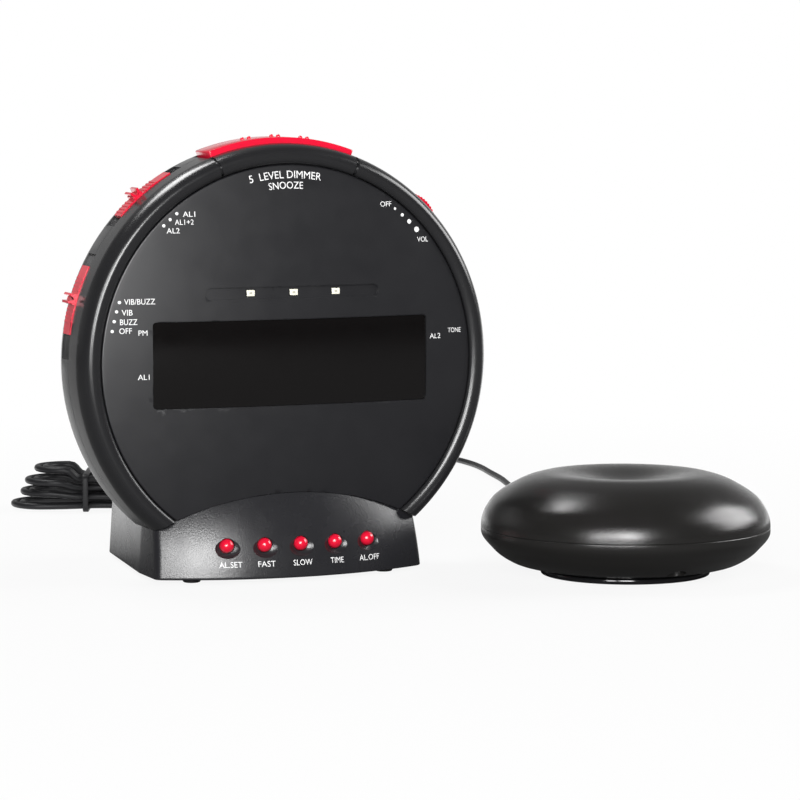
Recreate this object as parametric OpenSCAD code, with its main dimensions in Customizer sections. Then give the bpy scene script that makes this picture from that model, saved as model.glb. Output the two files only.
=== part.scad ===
// Bed shaker alarm clock: a round clock on a bowed base, with a wired vibrating puck.
// Millimetres, +Z up, +X to the right seen from the front, +Y to the back.
// The clock's own measures run from the middle of its disc, on the plane of the bezel seam.

/* [Clock disc] */
// Radius of the rim band
disc_r = 67.8; // [60:0.2:85]
// Wall of the clock's shells
wall = 2.2; // [1.8:0.1:3]
// Width of the rounded bezel, seen from the front
bezel_w = 6.3; // [5:0.1:9]
// How far the face panel bulges at its middle
panel_dome = 5.72; // [2:0.1:9]
// Thickness of the face panel
panel_t = 2.2; // [1.6:0.1:3]
// Depth of the disc from the bezel seam to its flat back
disc_depth = 25.8; // [24:0.2:34]
// Place of the joint between front and rear shells
part_y = 13.8; // [12.4:0.2:14.4]
// Radius of the speaker drum on the back
drum_r = 40; // [38:0.5:44]
// How far the speaker drum stands out of the back
drum_h = 12.2; // [11:0.2:18]

/* [Face] */
// Width of the display window
window_w = 90.8; // [70:0.2:96]
// Height of the display window
window_h = 26.9; // [20:0.1:32]
// Height of the lamp slot above the middle
lamp_z = 21.8; // [18:0.1:30]
// Distance between lamps
lamp_pitch = 14.1; // [10:0.1:18]
// Length of the lamp slot
slot_w = 57; // [40:0.5:70]
// Height of the lamp slot
slot_h = 3.4; // [3:0.1:5]

/* [Base] */
// Half the width of the base at its foot
base_hw = 44.6; // [41:0.2:52]
// Plan radius of the bowed front
front_r = 97.5; // [70:0.5:110]
// How far the bowed front stands before the bezel seam
front_y = 11.6; // [9:0.2:16]
// Place of the rear wall behind the bezel seam
base_rear_y = 65.5; // [62:0.5:90]
// Height of the arched top over the floor
arch_h = 27; // [26:0.2:34]
// Radius of the arched top, seen from the front
arch_r = 96; // [80:1:140]
// Height of the rear part over the floor
rear_h = 24; // [22:0.2:30]
// Gap under the base that the feet leave
foot_h = 1.4; // [1:0.1:4]

/* [Controls] */
// Half the angle of the snooze bar
snooze_half = 20.3; // [16:0.1:24]
// Travel of the snooze bar
snooze_travel = 1.2; // [0.8:0.1:1.6]
// Pitch of the buttons
button_pitch = 11.7; // [9.5:0.05:13]
// Radius of a button's dome
button_r = 2.2; // [2:0.1:3]
// Height of the buttons above the base's lower edge
button_h = 10.3; // [8:0.1:11]
// Free travel of a button
button_travel = 0.6; // [0.4:0.1:0.8]
// Radius of the two thumbwheels
wheel_r = 10.1; // [8:0.1:11]
// How far the thumbwheels stand out of the rim
wheel_out = 3.9; // [2:0.1:5]

/* [Shaker] */
// Radius of the shaker at its seam
shaker_r = 45.7; // [40:0.1:60]
// Height of the seam over the floor
shaker_seam = 15; // [14:0.1:20]
// Height of the shaker's rounded rim over the floor
shaker_h = 32; // [31:0.1:44]
// Depth of the dish in the top
dish_depth = 3; // [1:0.1:4]
// Radius of the foot ring
ring_r = 26.7; // [24:0.1:34]

/* [Cord] */
// Diameter of the shaker's cord
cord_d = 2.3; // [2:0.1:2.5]
// Loops in each of the hank's four layers
hank_loops = 2; // [2:1:4]
// Length of the hank's straight runs
hank_run = 35; // [34:1:44]

/* [Hidden] */
$fn = 96;

// Place of the clock and of the shaker
clock_x = -38.9;
clock_y = 5.8;
disc_z = disc_r + 0.2;
shaker_x = 62.5;
shaker_y = -26.1;

// Clock disc
seam_r = disc_r - bezel_w;
panel_r = seam_r - 0.3;
case_in_r = disc_r - wall;
peak_r = seam_r + 2.7;
peak_y = -1.3;
band_y = 5.5;
back_round = 5.7;
drum_y = disc_depth + drum_h;
drum_round = 4;
boss_r = seam_r - 3;
boss_angles = [28, 150, 210, 330];
board_y = 8.4;
board_t = 1.6;
post_x = 42;
post_top = 22;
post_low = -26;

// Base, in the clock's own measures
base_z = foot_h - disc_z;
arch_z = arch_h - disc_z;
rear_z = rear_h - disc_z;
arch_mid = arch_z - arch_r;
front_mid = front_r - front_y;
side_lean = 3.8;
kink_y = 25.8;
taper = 6.8;
plate_t = 2.4;
fit = 0.15;
button_z = base_z + button_h;
button_board_y = 3.3;
button_mid = 0.4;
stem_y = front_surface(2 * button_pitch + button_mid, button_h) + 4.8;
button_x = [for (k = [-2:2]) button_mid + k * button_pitch];
plate_screw = [[-36.5, 14], [36.5, 14], [-31, 57], [31, 57]];
foot_at = [[-32.2, 0.9], [32.2, 0.9], [-24, 57], [24, 57]];
disc_screw = [[-31, 8], [31, 8], [-31, 19.5], [31, 19.5]];
power_x = 11;
jack_x = 21;
jack_z = 14 - disc_z;
cell = [26, 47.7, 17];
cell_x = -22.8;
cell_z = base_z + plate_t + 0.1;
cell_y = base_rear_y - wall - 0.1 - cell[1];
door_x0 = cell_x - 2;
door_x1 = cell_x + cell[0] + 2;
door_top = rear_z - wall - 0.3;
hinge_y = base_rear_y - 1;
hinge_z = base_z + 2.8;

// Rim controls
channel_r = disc_r - 1.2;
channel_y0 = 12.6;
channel_y1 = 19.7;
alarm_a = 129.2;
alarm_half = 8.8;
alarm_knob = 130.9;
alarm_swing = [2.7, 2.7];
mode_a = 162.9;
mode_half = 9.3;
mode_knob = 163;
mode_swing = [3, 6];
volume_a = 42.1;
tone_a = 8;
wheel_at = min(disc_r + wheel_out - wheel_r, disc_r - 5.9);
wheel_y0 = 14.4;
wheel_y1 = 18.6;
snooze_y0 = 6.1;
snooze_y1 = 19.2;
snooze_mid = (snooze_y0 + snooze_y1) / 2;
snooze_top = disc_r + 1.8;
platform_r = disc_r - 6;
guide_x = 14;
seat_z = sqrt(pow(platform_r, 2) - pow(guide_x, 2)) + 0.3;
spring_h = 4;
hour_at = [51, -12];
hour_travel = 4;

// Shaker
shaker_wall = 2.2;
motor_z = 14.5;
motor_r = 10.2;
exit_z = 11;
relief_end = 60;

// Cord routes, points chosen by hand along the floor, in the part's own frame
cord_r = cord_d / 2;
floor_z = 1.2;
shaker_route = [
    [62.5, 40, 11], [64, 52, 8.6], [67, 65, 5], [71, 79, 2.2], [77, 94, 1.2],
    [84, 109, 1.2], [92, 124, 1.2], [101, 140, 1.2], [108, 157, 1.2], [114, 174, 1.2],
    [119, 191, 1.2], [124, 209, 1.2], [128, 228, 1.2], [132, 247, 1.2], [134, 264, 1.2],
    [133, 281, 1.2], [126, 295, 1.2], [113, 303, 1.2], [98, 303, 1.2], [84, 297, 1.2],
    [71, 287, 1.2], [60, 275, 1.2], [51, 262, 1.2], [43, 248, 1.2], [37, 233, 1.2], [31, 218, 1.2],
    [24, 204, 1.2], [14, 194, 1.2], [2, 189, 1.2]];
plug_end = [clock_x + jack_x, clock_y + base_rear_y + 30.7, disc_z + jack_z];
plug_route = [for (p = [[8, 51, 1.6], [13, 41, 1.2], [13, 30, 1.2], [8, 22, 1.6], [0, 17, 3.5],
    [-8, 14, 7], [-15, 10.5, 11.5]]) p + [0, plug_end[1], 0]];

function ring_point(r, a) = [r * cos(a), r * sin(a)];
function dome_y(r) = -panel_dome * (1 - pow(r / seam_r, 2));
function front_lean(h) = 0.12 * h + h * h / 125;
function front_surface(x, h) = front_mid - sqrt(pow(front_r - front_lean(h), 2) - x * x);
function arch_at(x, r) = arch_mid + sqrt(r * r - x * x);

// Solids about the disc's axis

module at_clock() {
    translate([clock_x, clock_y, disc_z]) children();
}

module at_shaker() {
    translate([shaker_x, shaker_y, 0]) children();
}

module rod_y(y0, y1, r, x = 0, z = 0) {
    translate([x, y0, z]) rotate([-90, 0, 0]) cylinder(h = y1 - y0, r = r);
}

module spun(points) {
    rotate([-90, 0, 0]) rotate_extrude() polygon(points);
}

module sector(a0, a1, r0, r1, y0, y1) {
    rotate([-90, 0, 0]) rotate([0, 0, -a1]) rotate_extrude(angle = a1 - a0)
        translate([r0, y0]) square([r1 - r0, y1 - y0]);
}

module block(low, high) {
    translate(low) cube(high - low);
}

module rounded_plate(w, h, r, y0, y1) {
    for (part = [[w, h - 2 * r], [w - 2 * r, h]])
        block([-part[0] / 2, y0, -part[1] / 2], [part[0] / 2, y1, part[1] / 2]);
    for (sx = [-1, 1], sz = [-1, 1])
        rod_y(y0, y1, r, sx * (w / 2 - r), sz * (h / 2 - r));
}

module under_arch(extra, y0, y1) {
    rod_y(y0, y1, arch_r + extra, 0, arch_mid);
}

module screw(shank_r, head_r, length, head_h) {
    difference() {
        union() {
            cylinder(h = head_h, r = head_r);
            translate([0, 0, -length]) cylinder(h = length + 0.1, r = shank_r);
        }
        for (turn = [0, 90])
            rotate([0, 0, turn]) translate([-head_r * 0.6, -0.25, head_h - 0.7])
                cube([head_r * 1.2, 0.5, 1]);
    }
}

// Face

module face_panel() color([0.2, 0.2, 0.22]) at_clock() {
    steps = 14;
    front = [for (i = [0:steps]) [panel_r * i / steps, dome_y(panel_r * i / steps)]];
    back = [for (i = [steps:-1:0]) [panel_r * i / steps, dome_y(panel_r * i / steps) + panel_t]];
    difference() {
        union() {
            spun(concat(front, back));
            for (sx = [-1, 1]) rod_y(dome_y(lamp_z) + 1, 0.2, 1.6, sx * 19, lamp_z);
        }
        under_arch(fit, -20, 10);
        rounded_plate(window_w, window_h, 1.3, -20, 10);
        intersection() {
            translate([0, 0, lamp_z]) rounded_plate(slot_w, slot_h, slot_h / 2 - 0.01, -20, 10);
            spun([[0, -20], [panel_r, -20], for (i = [steps:-1:0])
                [panel_r * i / steps, dome_y(panel_r * i / steps) + 0.6]]);
        }
        for (k = [-1:1]) block([k * lamp_pitch - 1.4, -20, lamp_z - 1.05],
            [k * lamp_pitch + 1.4, 0.1, lamp_z + 1.05]);
    }
}

module display_lens() color([0.05, 0.05, 0.06]) at_clock() {
    steps = 12;
    reach = norm([window_w, window_h]) / 2 + 1;
    front = [for (i = [0:steps]) [reach * i / steps, dome_y(reach * i / steps) + 0.6]];
    back = [for (i = [steps:-1:0]) [reach * i / steps, dome_y(reach * i / steps) + panel_t]];
    intersection() {
        spun(concat(front, back));
        rounded_plate(window_w - 0.2, window_h - 0.2, 1.2, -20, 10);
    }
}

module display_module() color([0.1, 0.1, 0.1]) at_clock() {
    block([-window_w / 2 + 3, 0.6, -window_h / 2 + 1.5], [window_w / 2 - 3, board_y, window_h / 2 - 1.5]);
}

module digit_segments() color([0.35, 0.05, 0.05]) at_clock() {
    bar = 7;
    thick = 1.5;
    for (x = [-31, -12, 12, 31]) {
        for (z = [-8, 0, 8]) block([x - bar / 2, 0.2, z - thick / 2], [x + bar / 2, 0.6, z + thick / 2]);
        for (sx = [-1, 1], sz = [-1, 1])
            block([x + sx * 4.6 - thick / 2, 0.2, sz * 4 - 3], [x + sx * 4.6 + thick / 2, 0.6, sz * 4 + 3]);
    }
    for (z = [-4, 4]) rod_y(0.2, 0.6, 1, 0, z);
}

module alert_lamps() color([0.95, 0.93, 0.82]) at_clock() {
    for (k = [-1:1]) block([k * lamp_pitch - 1.3, dome_y(norm([k * lamp_pitch, lamp_z])) + 0.45, lamp_z - 0.95],
        [k * lamp_pitch + 1.3, 0.2, lamp_z + 0.95]);
}

module lamp_board() color([0.1, 0.35, 0.2]) at_clock() {
    block([-22, 0.2, lamp_z - 3], [22, 1.4, lamp_z + 3]);
}

// Shells of the disc

function bezel_outline(d) = concat(
    [for (a = [0:15:75]) [peak_r - (2.7 - d) * cos(a), 0.2 + (peak_y - 0.2 + d) * sin(a)]],
    [for (a = [0:7.5:90]) [peak_r + (disc_r - peak_r - d) * sin(a),
        band_y - (band_y - peak_y - d) * cos(a)]]);

module bezel_ring() {
    spun(concat([[seam_r, 2.3]], bezel_outline(0), [[disc_r, part_y], [case_in_r, part_y],
        [case_in_r, 6], [peak_r - 0.2, 4.2], [boss_r, 4.2], [boss_r, 2.3]]));
}

module snooze_pocket(y0, y1) {
    sector(90 - snooze_half - 0.8, 90 + snooze_half + 0.8, platform_r - 3, disc_r + 8, y0, y1);
}

// A slider's swept part of the rim, grown at each end by a margin in degrees
module rim_span(a, half, swing, margin, r0, r1, y0, y1) {
    sector(a - half - swing[0] - margin, a + half + swing[1] + margin, r0, r1, y0, y1);
}

module rim_channels() {
    rim_span(alarm_a, alarm_half, alarm_swing, 0.6, channel_r, disc_r + 8, channel_y0, channel_y1);
    rim_span(mode_a, mode_half, mode_swing, 0.6, channel_r, disc_r + 8, channel_y0, channel_y1);
}

// The flat seats of the two snooze springs
module seat_columns(z0, z1, r) {
    for (sx = [-1, 1]) translate([sx * guide_x, snooze_mid, z0]) cylinder(h = z1 - z0, r = r);
}

module front_case() color([0.12, 0.12, 0.13]) at_clock() {
    difference() {
        union() {
            bezel_ring();
            for (a = boss_angles) rod_y(3.4, part_y, 3.2, boss_r * cos(a), boss_r * sin(a));
            intersection() {
                rod_y(2.3, part_y, disc_r - 1);
                difference() {
                    union() {
                        under_arch(wall, 2.3, part_y);
                        for (sx = [-1, 1]) translate([sx * disc_screw[0][0], disc_screw[0][1], arch_z - 10])
                            cylinder(h = 18, r = 3.2);
                    }
                    under_arch(0, 0, 30);
                }
            }
        }
        under_arch(fit, -20, 40);
        snooze_pocket(snooze_y0 - 0.3, 30);
        rim_channels();
        intersection() {
            difference() {
                sector(60, 120, seam_r - 1, disc_r + 5, -8, band_y);
                spun(concat([[seam_r + 0.8, 5.6]], bezel_outline(0.8), [[disc_r - 0.8, 5.6]]));
            }
            for (a = [90 - snooze_half - 0.3, 90 + snooze_half + 0.3])
                rotate([0, -a, 0]) block([seam_r - 1, -8, -0.5], [disc_r + 4, 6, 0.5]);
        }
        for (a = boss_angles) rod_y(5, 40, 1.2, boss_r * cos(a), boss_r * sin(a));
        for (sx = [-1, 1]) translate([sx * disc_screw[0][0], disc_screw[0][1], arch_z - 20])
            cylinder(h = 26.6, r = 1.2);
        block([-9, 6, arch_z - 6], [9, 11, arch_z + 10]);
    }
}

module rear_outline() {
    out = [for (t = [0:9:90]) [disc_r - back_round + back_round * cos(t),
        disc_depth - back_round + back_round * sin(t)]];
    drum = [for (t = [0:15:90]) [drum_r - drum_round + drum_round * cos(t),
        drum_y - drum_round + drum_round * sin(t)]];
    in_drum = [for (t = [90:-15:0]) [drum_r - drum_round + (drum_round - wall) * cos(t),
        drum_y - drum_round + (drum_round - wall) * sin(t)]];
    in_out = [for (t = [90:-9:0]) [disc_r - back_round + (back_round - wall) * cos(t),
        disc_depth - back_round + (back_round - wall) * sin(t)]];
    spun(concat([[disc_r, part_y]], out, [[drum_r, disc_depth]], drum, [[0, drum_y], [0, drum_y - wall]],
        in_drum, [[drum_r - wall, disc_depth - wall]], in_out, [[case_in_r, part_y]]));
}

module grille_holes() {
    for (ring = [1:4], k = [0:ring * 6 - 1]) {
        a = k * 60 / ring;
        rod_y(drum_y - 5, drum_y + 5, 1.4, ring * 5.6 * cos(a), ring * 5.6 * sin(a));
    }
    rod_y(drum_y - 5, drum_y + 5, 1.4);
}

module rear_solid() {
    difference() {
        union() {
            rear_outline();
            for (a = boss_angles) rod_y(part_y, disc_depth - 1, 3.2, boss_r * cos(a), boss_r * sin(a));
            for (sx = [-1, 1], z = [post_top, post_low])
                rod_y(board_y + board_t, disc_depth - 1, 2.6, sx * post_x, z);
            rim_span(alarm_a, alarm_half, alarm_swing, 3, channel_r - wall, channel_r + 0.1, part_y, 21.5);
            rim_span(mode_a, mode_half, mode_swing, 3, channel_r - wall, channel_r + 0.1, part_y, 21.5);
            for (a = [volume_a, tone_a]) rod_y(21.5, disc_depth - 1, 3.4,
                (wheel_at - 5) * cos(a), (wheel_at - 5) * sin(a));
            intersection() {
                rod_y(part_y, disc_depth - 1, disc_r - 1);
                difference() {
                    union() {
                        under_arch(wall, part_y, disc_depth - 1);
                        for (sx = [-1, 1]) translate([sx * disc_screw[2][0], disc_screw[2][1], arch_z - 10])
                            cylinder(h = 18, r = 3.2);
                    }
                    under_arch(0, 0, 40);
                }
            }
        }
        under_arch(fit, -20, disc_depth + 0.1);
        rim_channels();
        sector(alarm_knob - alarm_swing[0] - 1.9, alarm_knob + alarm_swing[1] + 1.9,
            channel_r - 5, disc_r, 14.8, 17.5);
        sector(mode_knob - mode_swing[0] - 1.9, mode_knob + mode_swing[1] + 1.9,
            channel_r - 5, disc_r, 14.8, 17.5);
        snooze_pocket(part_y - 1, snooze_y1 + 0.4);
        for (a = [volume_a, tone_a]) rod_y(part_y - 1, wheel_y1 + 0.4, wheel_r + 0.5,
            wheel_at * cos(a), wheel_at * sin(a));
        for (a = boss_angles) {
            rod_y(part_y - 1, disc_depth + 1, 1.5, boss_r * cos(a), boss_r * sin(a));
            rod_y(disc_depth - 1.8, disc_depth + 1, 2.9, boss_r * cos(a), boss_r * sin(a));
        }
        for (sx = [-1, 1]) translate([sx * disc_screw[2][0], disc_screw[2][1], arch_z - 20])
            cylinder(h = 26.6, r = 1.2);
        grille_holes();
        for (a = [45:90:315]) rod_y(drum_y - wall - 1, drum_y - 0.8, 1.1, 30 * cos(a), 30 * sin(a));
        block([hour_at[0] - 4, disc_depth - wall - 1, hour_at[1] - 1.9],
            [hour_at[0] + 4, disc_depth + 1, hour_at[1] + 1.9]);
    }
}

module rear_case() color([0.14, 0.14, 0.15]) at_clock() {
    difference() {
        union() {
            rear_solid();
            sector(90 - snooze_half - 3, 90 + snooze_half + 3, platform_r - 1.4, platform_r,
                snooze_y0 - 0.2, disc_depth - 1);
            sector(90 - snooze_half - 2.4, 90 + snooze_half + 2.4, platform_r - 1.4, case_in_r + 1,
                snooze_y1 + 0.5, snooze_y1 + 2.5);
            seat_columns(seat_z - 3.4, seat_z, 3.6);
        }
        seat_columns(seat_z, seat_z + 8, 3.3);
        seat_columns(seat_z - 8, seat_z + 8, 1.75);
        block([-3.6, snooze_mid - 3.6, platform_r - 4], [3.6, snooze_mid + 3.6, platform_r + 1]);
    }
}

module case_screws() color([0.7, 0.7, 0.7]) at_clock() {
    for (a = boss_angles) translate([boss_r * cos(a), disc_depth - 1.8, boss_r * sin(a)])
        rotate([-90, 0, 0]) screw(1.2, 2.6, 18, 1.5);
}

// Boards inside the disc

module main_board() color([0.1, 0.35, 0.2]) at_clock() {
    block([-46, board_y, -28], [46, board_y + board_t, 24]);
}

module board_parts() color([0.15, 0.15, 0.16]) at_clock() {
    top = board_y + board_t;
    block([-36, top, 2], [-20, top + 2.4, 12]);
    block([20, top, -4], [31, top + 2.4, 4]);
    block([-33, top, -20], [-21, top + 6, -14]);
    rod_y(top, top + 10, 4, 30, -18);
    rod_y(top, top + 8, 3.2, -30, -6);
    for (x = [16:3:28]) rod_y(top, top + 4, 1.1, x, 16);
}

// Snooze bar on the top of the rim

module snooze_bar() color([0.85, 0.06, 0.2]) at_clock() {
    difference() {
        sector(90 - snooze_half, 90 + snooze_half, disc_r - 1.9, snooze_top, snooze_y0, snooze_y1);
        seat_columns(seat_z, seat_z + spring_h, 3.1);
    }
    for (pair = [-1:1], side = [-1, 1]) {
        pip = ring_point(snooze_top + 0.1, 90 + pair * 8 + side * 0.93);
        translate([pip[0], snooze_y0 + 6.1, pip[1]]) sphere(r = 0.7, $fn = 24);
    }
    seat_columns(seat_z - 5, seat_z + spring_h + 1, 1.6);
    seat_columns(seat_z - 6.4, seat_z - 4.9, 2.2);
    block([-1.5, snooze_mid - 1.5, platform_r + 1.4], [1.5, snooze_mid + 1.5, disc_r - 1]);
}

module snooze_springs() color([0.75, 0.75, 0.78]) at_clock() {
    difference() {
        seat_columns(seat_z, seat_z + spring_h, 2.7);
        seat_columns(seat_z - 1, seat_z + spring_h + 1, 2);
    }
}

module snooze_board() color([0.1, 0.35, 0.2]) at_clock() {
    difference() {
        block([-18, snooze_mid - 4, seat_z - 4.6], [18, snooze_mid + 4, seat_z - 3.4]);
        seat_columns(seat_z - 8, seat_z, 1.9);
    }
}

module snooze_switch() color([0.2, 0.2, 0.2]) at_clock() {
    block([-3, snooze_mid - 3, seat_z - 3.4], [3, snooze_mid + 3, platform_r - 0.9]);
    translate([0, snooze_mid, platform_r - 1]) cylinder(h = 1.1, r = 1.6);
}

// Sliders on the left rim

module rim_slider(a, half, knob) {
    sector(a - half, a + half, channel_r + 0.2, disc_r + 0.3, channel_y0 + 0.3, channel_y1 - 0.3);
    for (side = [-1, 1], k = [0:3]) {
        rib = knob + side * (2.6 + k * 1.1);
        sector(rib - 0.25, rib + 0.25, disc_r + 0.2, disc_r + 0.5, channel_y0 + 0.3, channel_y1 - 0.3);
    }
    sector(knob - 1.4, knob + 1.4, disc_r + 0.2, disc_r + 1.3, channel_y0 + 0.5, channel_y1 - 0.5);
    for (side = [-1, 1])
        rotate([0, -knob, 0]) translate([disc_r + 0.8, channel_y0 + 0.5, side * 0.75])
            rotate([0, -side * 16, 0]) translate([0, 0, -0.4])
                cube([1.9, channel_y1 - channel_y0 - 1, 0.8]);
    rotate([0, -knob, 0]) block([channel_r - 6.4, 15, -1.3], [channel_r + 0.5, 17.3, 1.3]);
}

module alarm_slider() color([0.85, 0.06, 0.2]) at_clock() rim_slider(alarm_a, alarm_half, alarm_knob);

module mode_slider() color([0.85, 0.06, 0.2]) at_clock() rim_slider(mode_a, mode_half, mode_knob);

module rim_switch(a, swing) {
    middle = a + (swing[1] - swing[0]) / 2;
    difference() {
        union() {
            sector(a - swing[0] - 4.5, a + swing[1] + 4.5, channel_r - 9, channel_r - 4.4, 13, 19);
            sector(middle - 3, middle + 3, channel_r - 9, channel_r - 6, 18.9, disc_depth - wall);
        }
        sector(a - swing[0] - 3, a + swing[1] + 3, channel_r - 6.9, channel_r, 14.6, 17.7);
    }
}

module alarm_switch() color([0.6, 0.6, 0.62]) at_clock() rim_switch(alarm_knob, alarm_swing);

module mode_switch() color([0.6, 0.6, 0.62]) at_clock() rim_switch(mode_knob, mode_swing);

// Thumbwheels on the right rim

module thumbwheel(a) {
    teeth = 56;
    outline = [for (k = [0:2 * teeth - 1]) ring_point(wheel_r - (k % 2) * 0.35, k * 180 / teeth)];
    translate([wheel_at * cos(a), 0, wheel_at * sin(a)]) {
        translate([0, wheel_y0, 0]) rotate([-90, 0, 0]) linear_extrude(height = wheel_y1 - wheel_y0)
            polygon(outline);
        rod_y(wheel_y1 - 0.1, 21.3, 2);
    }
}

module volume_wheel() color([0.85, 0.06, 0.2]) at_clock() thumbwheel(volume_a);

module tone_wheel() color([0.85, 0.06, 0.2]) at_clock() thumbwheel(tone_a);

module wheel_pot(a) {
    difference() {
        rotate([0, -a, 0]) block([wheel_at - 8, wheel_y1 + 0.3, -4.6], [wheel_at + 2.5, 21.5, 4.6]);
        rod_y(wheel_y1, 22, 2.05, wheel_at * cos(a), wheel_at * sin(a));
    }
}

module volume_pot() color([0.3, 0.3, 0.32]) at_clock() wheel_pot(volume_a);

module tone_pot() color([0.3, 0.3, 0.32]) at_clock() wheel_pot(tone_a);

// Speaker in the drum

module speaker_frame() color([0.55, 0.55, 0.58]) at_clock() difference() {
    spun([[8, drum_y - 14.4], [16, drum_y - 14.4], [27.5, drum_y - wall - 1], [32, drum_y - wall - 1],
        [32, drum_y - wall], [26.6, drum_y - wall], [15.4, drum_y - 13.4], [8, drum_y - 13.4]]);
    for (a = [45:90:315]) rod_y(drum_y - 6, drum_y, 1.3, 30 * cos(a), 30 * sin(a));
}

module speaker_magnet() color([0.25, 0.25, 0.27]) at_clock() {
    rod_y(drum_y - 21, drum_y - 14.4, 15);
    rod_y(drum_y - 14.5, drum_y - 12, 6);
}

module speaker_cone() color([0.1, 0.1, 0.1]) at_clock() {
    spun([[0, drum_y - 7.2], [9, drum_y - 8.8], [23.4, drum_y - 3.7], [25.1, drum_y - 3.7],
        [25.1, drum_y - 3], [23.2, drum_y - 3], [9, drum_y - 8], [0, drum_y - 6.4]]);
}

module speaker_screws() color([0.7, 0.7, 0.7]) at_clock() {
    for (a = [45:90:315]) translate([30 * cos(a), drum_y - wall - 1, 30 * sin(a)])
        rotate([90, 0, 0]) screw(1.1, 2, 2.2, 1.2);
}

// Slide switch on the back

module hour_switch() color([0.6, 0.6, 0.62]) at_clock() difference() {
    block([hour_at[0] - 6, disc_depth - wall - 4.6, hour_at[1] - 3],
        [hour_at[0] + 6, disc_depth - wall, hour_at[1] + 3]);
    block([hour_at[0] - 3.8, disc_depth - wall - 3, hour_at[1] - 1.5],
        [hour_at[0] + 3.8, disc_depth, hour_at[1] + 1.5]);
}

module hour_knob() color([0.05, 0.05, 0.05]) at_clock() difference() {
    block([hour_at[0] - 3.5, disc_depth - wall - 2.7, hour_at[1] - 1.3],
        [hour_at[0] - 0.5, disc_depth + 1, hour_at[1] + 1.3]);
    for (x = [-2.9, -2, -1.1]) block([hour_at[0] + x - 0.2, disc_depth + 0.6, hour_at[1] - 2],
        [hour_at[0] + x + 0.2, disc_depth + 2, hour_at[1] + 2]);
}

// Base

module side_planes(d) {
    for (s = [0, 1]) mirror([s, 0, 0]) {
        translate([base_hw - d, 0, base_z]) rotate([0, -side_lean, 0]) block([0, -60, -20], [40, 140, 60]);
        translate([base_hw - 1.2 - d, kink_y, base_z]) rotate([0, 0, taper]) rotate([0, -side_lean, 0])
            block([0, -60, -20], [40, 140, 60]);
    }
}

module base_block(d, z0) {
    steps = 9;
    top_h = arch_z - base_z + 3;
    side = [for (i = [0:steps]) [front_r - d - front_lean(top_h * i / steps), top_h * i / steps]];
    difference() {
        intersection() {
            translate([0, front_mid, base_z]) rotate_extrude($fn = 160)
                polygon(concat([[0, z0 - base_z], [front_r - d, z0 - base_z]], side, [[0, top_h]]));
            union() {
                intersection() {
                    under_arch(-d, -30, base_rear_y - d);
                    block([-60, -30, z0], [60, disc_depth + 1, arch_z + 2]);
                }
                block([-60, disc_depth + 0.15 + d, z0], [60, base_rear_y - d, rear_z - d]);
                intersection() {
                    under_arch(-d, -30, base_rear_y - d);
                    block([-60, -30, z0], [60, base_rear_y - d, rear_z - d]);
                }
            }
        }
        side_planes(d);
        translate([-60, base_rear_y - d - 2, rear_z - d - 2]) difference() {
            cube([120, 4, 4]);
            rotate([0, 90, 0]) cylinder(h = 120, r = 2);
        }
    }
}

module base_shell() color([0.16, 0.16, 0.17]) at_clock() {
    difference() {
        union() {
            difference() {
                base_block(0, base_z);
                base_block(wall, base_z - 1);
            }
            intersection() {
                base_block(0.3, base_z + plate_t + 0.1);
                union() {
                    for (p = plate_screw) translate([p[0], p[1], base_z + plate_t]) cylinder(h = 30, r = 3.4);
                    for (p = disc_screw) translate([p[0], p[1], arch_z - 9]) cylinder(h = 12, r = 3.4);
                    for (x = button_x) rod_y(front_surface(x, button_h) + 0.6,
                        front_surface(x, button_h) + 3.2, 4.8, x, button_z);
                }
            }
        }
        for (p = plate_screw) translate([p[0], p[1], base_z]) cylinder(h = 12, r = 1.2);
        for (p = disc_screw) translate([p[0], p[1], arch_z - 12]) cylinder(h = 16, r = 1.4);
        for (x = button_x) {
            rod_y(-30, button_board_y, button_r + 0.2, x, button_z);
            rod_y(front_surface(x, button_h) + 3.2, button_board_y, 3.9, x, button_z);
            translate([x, front_surface(x, button_h), button_z]) rotate([0, 0, asin(x / front_r)])
                for (side = [-1, 0, 1]) translate([side * 0.9, -4.1, 0]) sphere(r = 5.1);
        }
        block([-9, 6, arch_z - 6], [9, 11, arch_z + 3]);
        rod_y(base_rear_y - 5, base_rear_y + 5, 3.7, power_x, jack_z);
        rod_y(base_rear_y - 5, base_rear_y + 5, 3.1, jack_x, jack_z);
        block([door_x0 - 0.2, base_rear_y - 5, hinge_z - 1.3], [door_x1 + 0.2, base_rear_y + 5, door_top + 0.2]);
        translate([door_x0 - 2, hinge_y, hinge_z]) rotate([0, 90, 0])
            cylinder(h = door_x1 - door_x0 + 4, r = 0.75);
    }
}

module base_plate() color([0.13, 0.13, 0.14]) at_clock() {
    difference() {
        union() {
            intersection() {
                base_block(wall + fit, base_z - 1);
                block([-60, -30, base_z], [60, 100, base_z + plate_t]);
            }
            for (x = [-26, 26]) block([x - 3, button_board_y + 1.6, base_z + 1],
                [x + 3, button_board_y + 4, button_z + 4]);
        }
        for (p = plate_screw) translate([p[0], p[1], base_z - 1]) {
            cylinder(h = 5, r = 1.5);
            cylinder(h = 2.2, r = 2.9);
        }
    }
}

module base_screws() color([0.7, 0.7, 0.7]) at_clock() {
    for (p = plate_screw) translate([p[0], p[1], base_z + 1.2])
        rotate([180, 0, 0]) screw(1.2, 2.6, 10, 1.1);
}

module disc_screws() color([0.7, 0.7, 0.7]) at_clock() {
    for (p = disc_screw) translate([p[0], p[1], arch_z - 9])
        rotate([180, 0, 0]) screw(1.2, 2.6, 15, 1.4);
}

module feet() color([0.05, 0.05, 0.05]) at_clock() {
    for (p = foot_at) translate([p[0], p[1], -disc_z]) cylinder(h = foot_h, r1 = 2.6, r2 = 3.2);
}

// Buttons in the base's front

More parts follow.
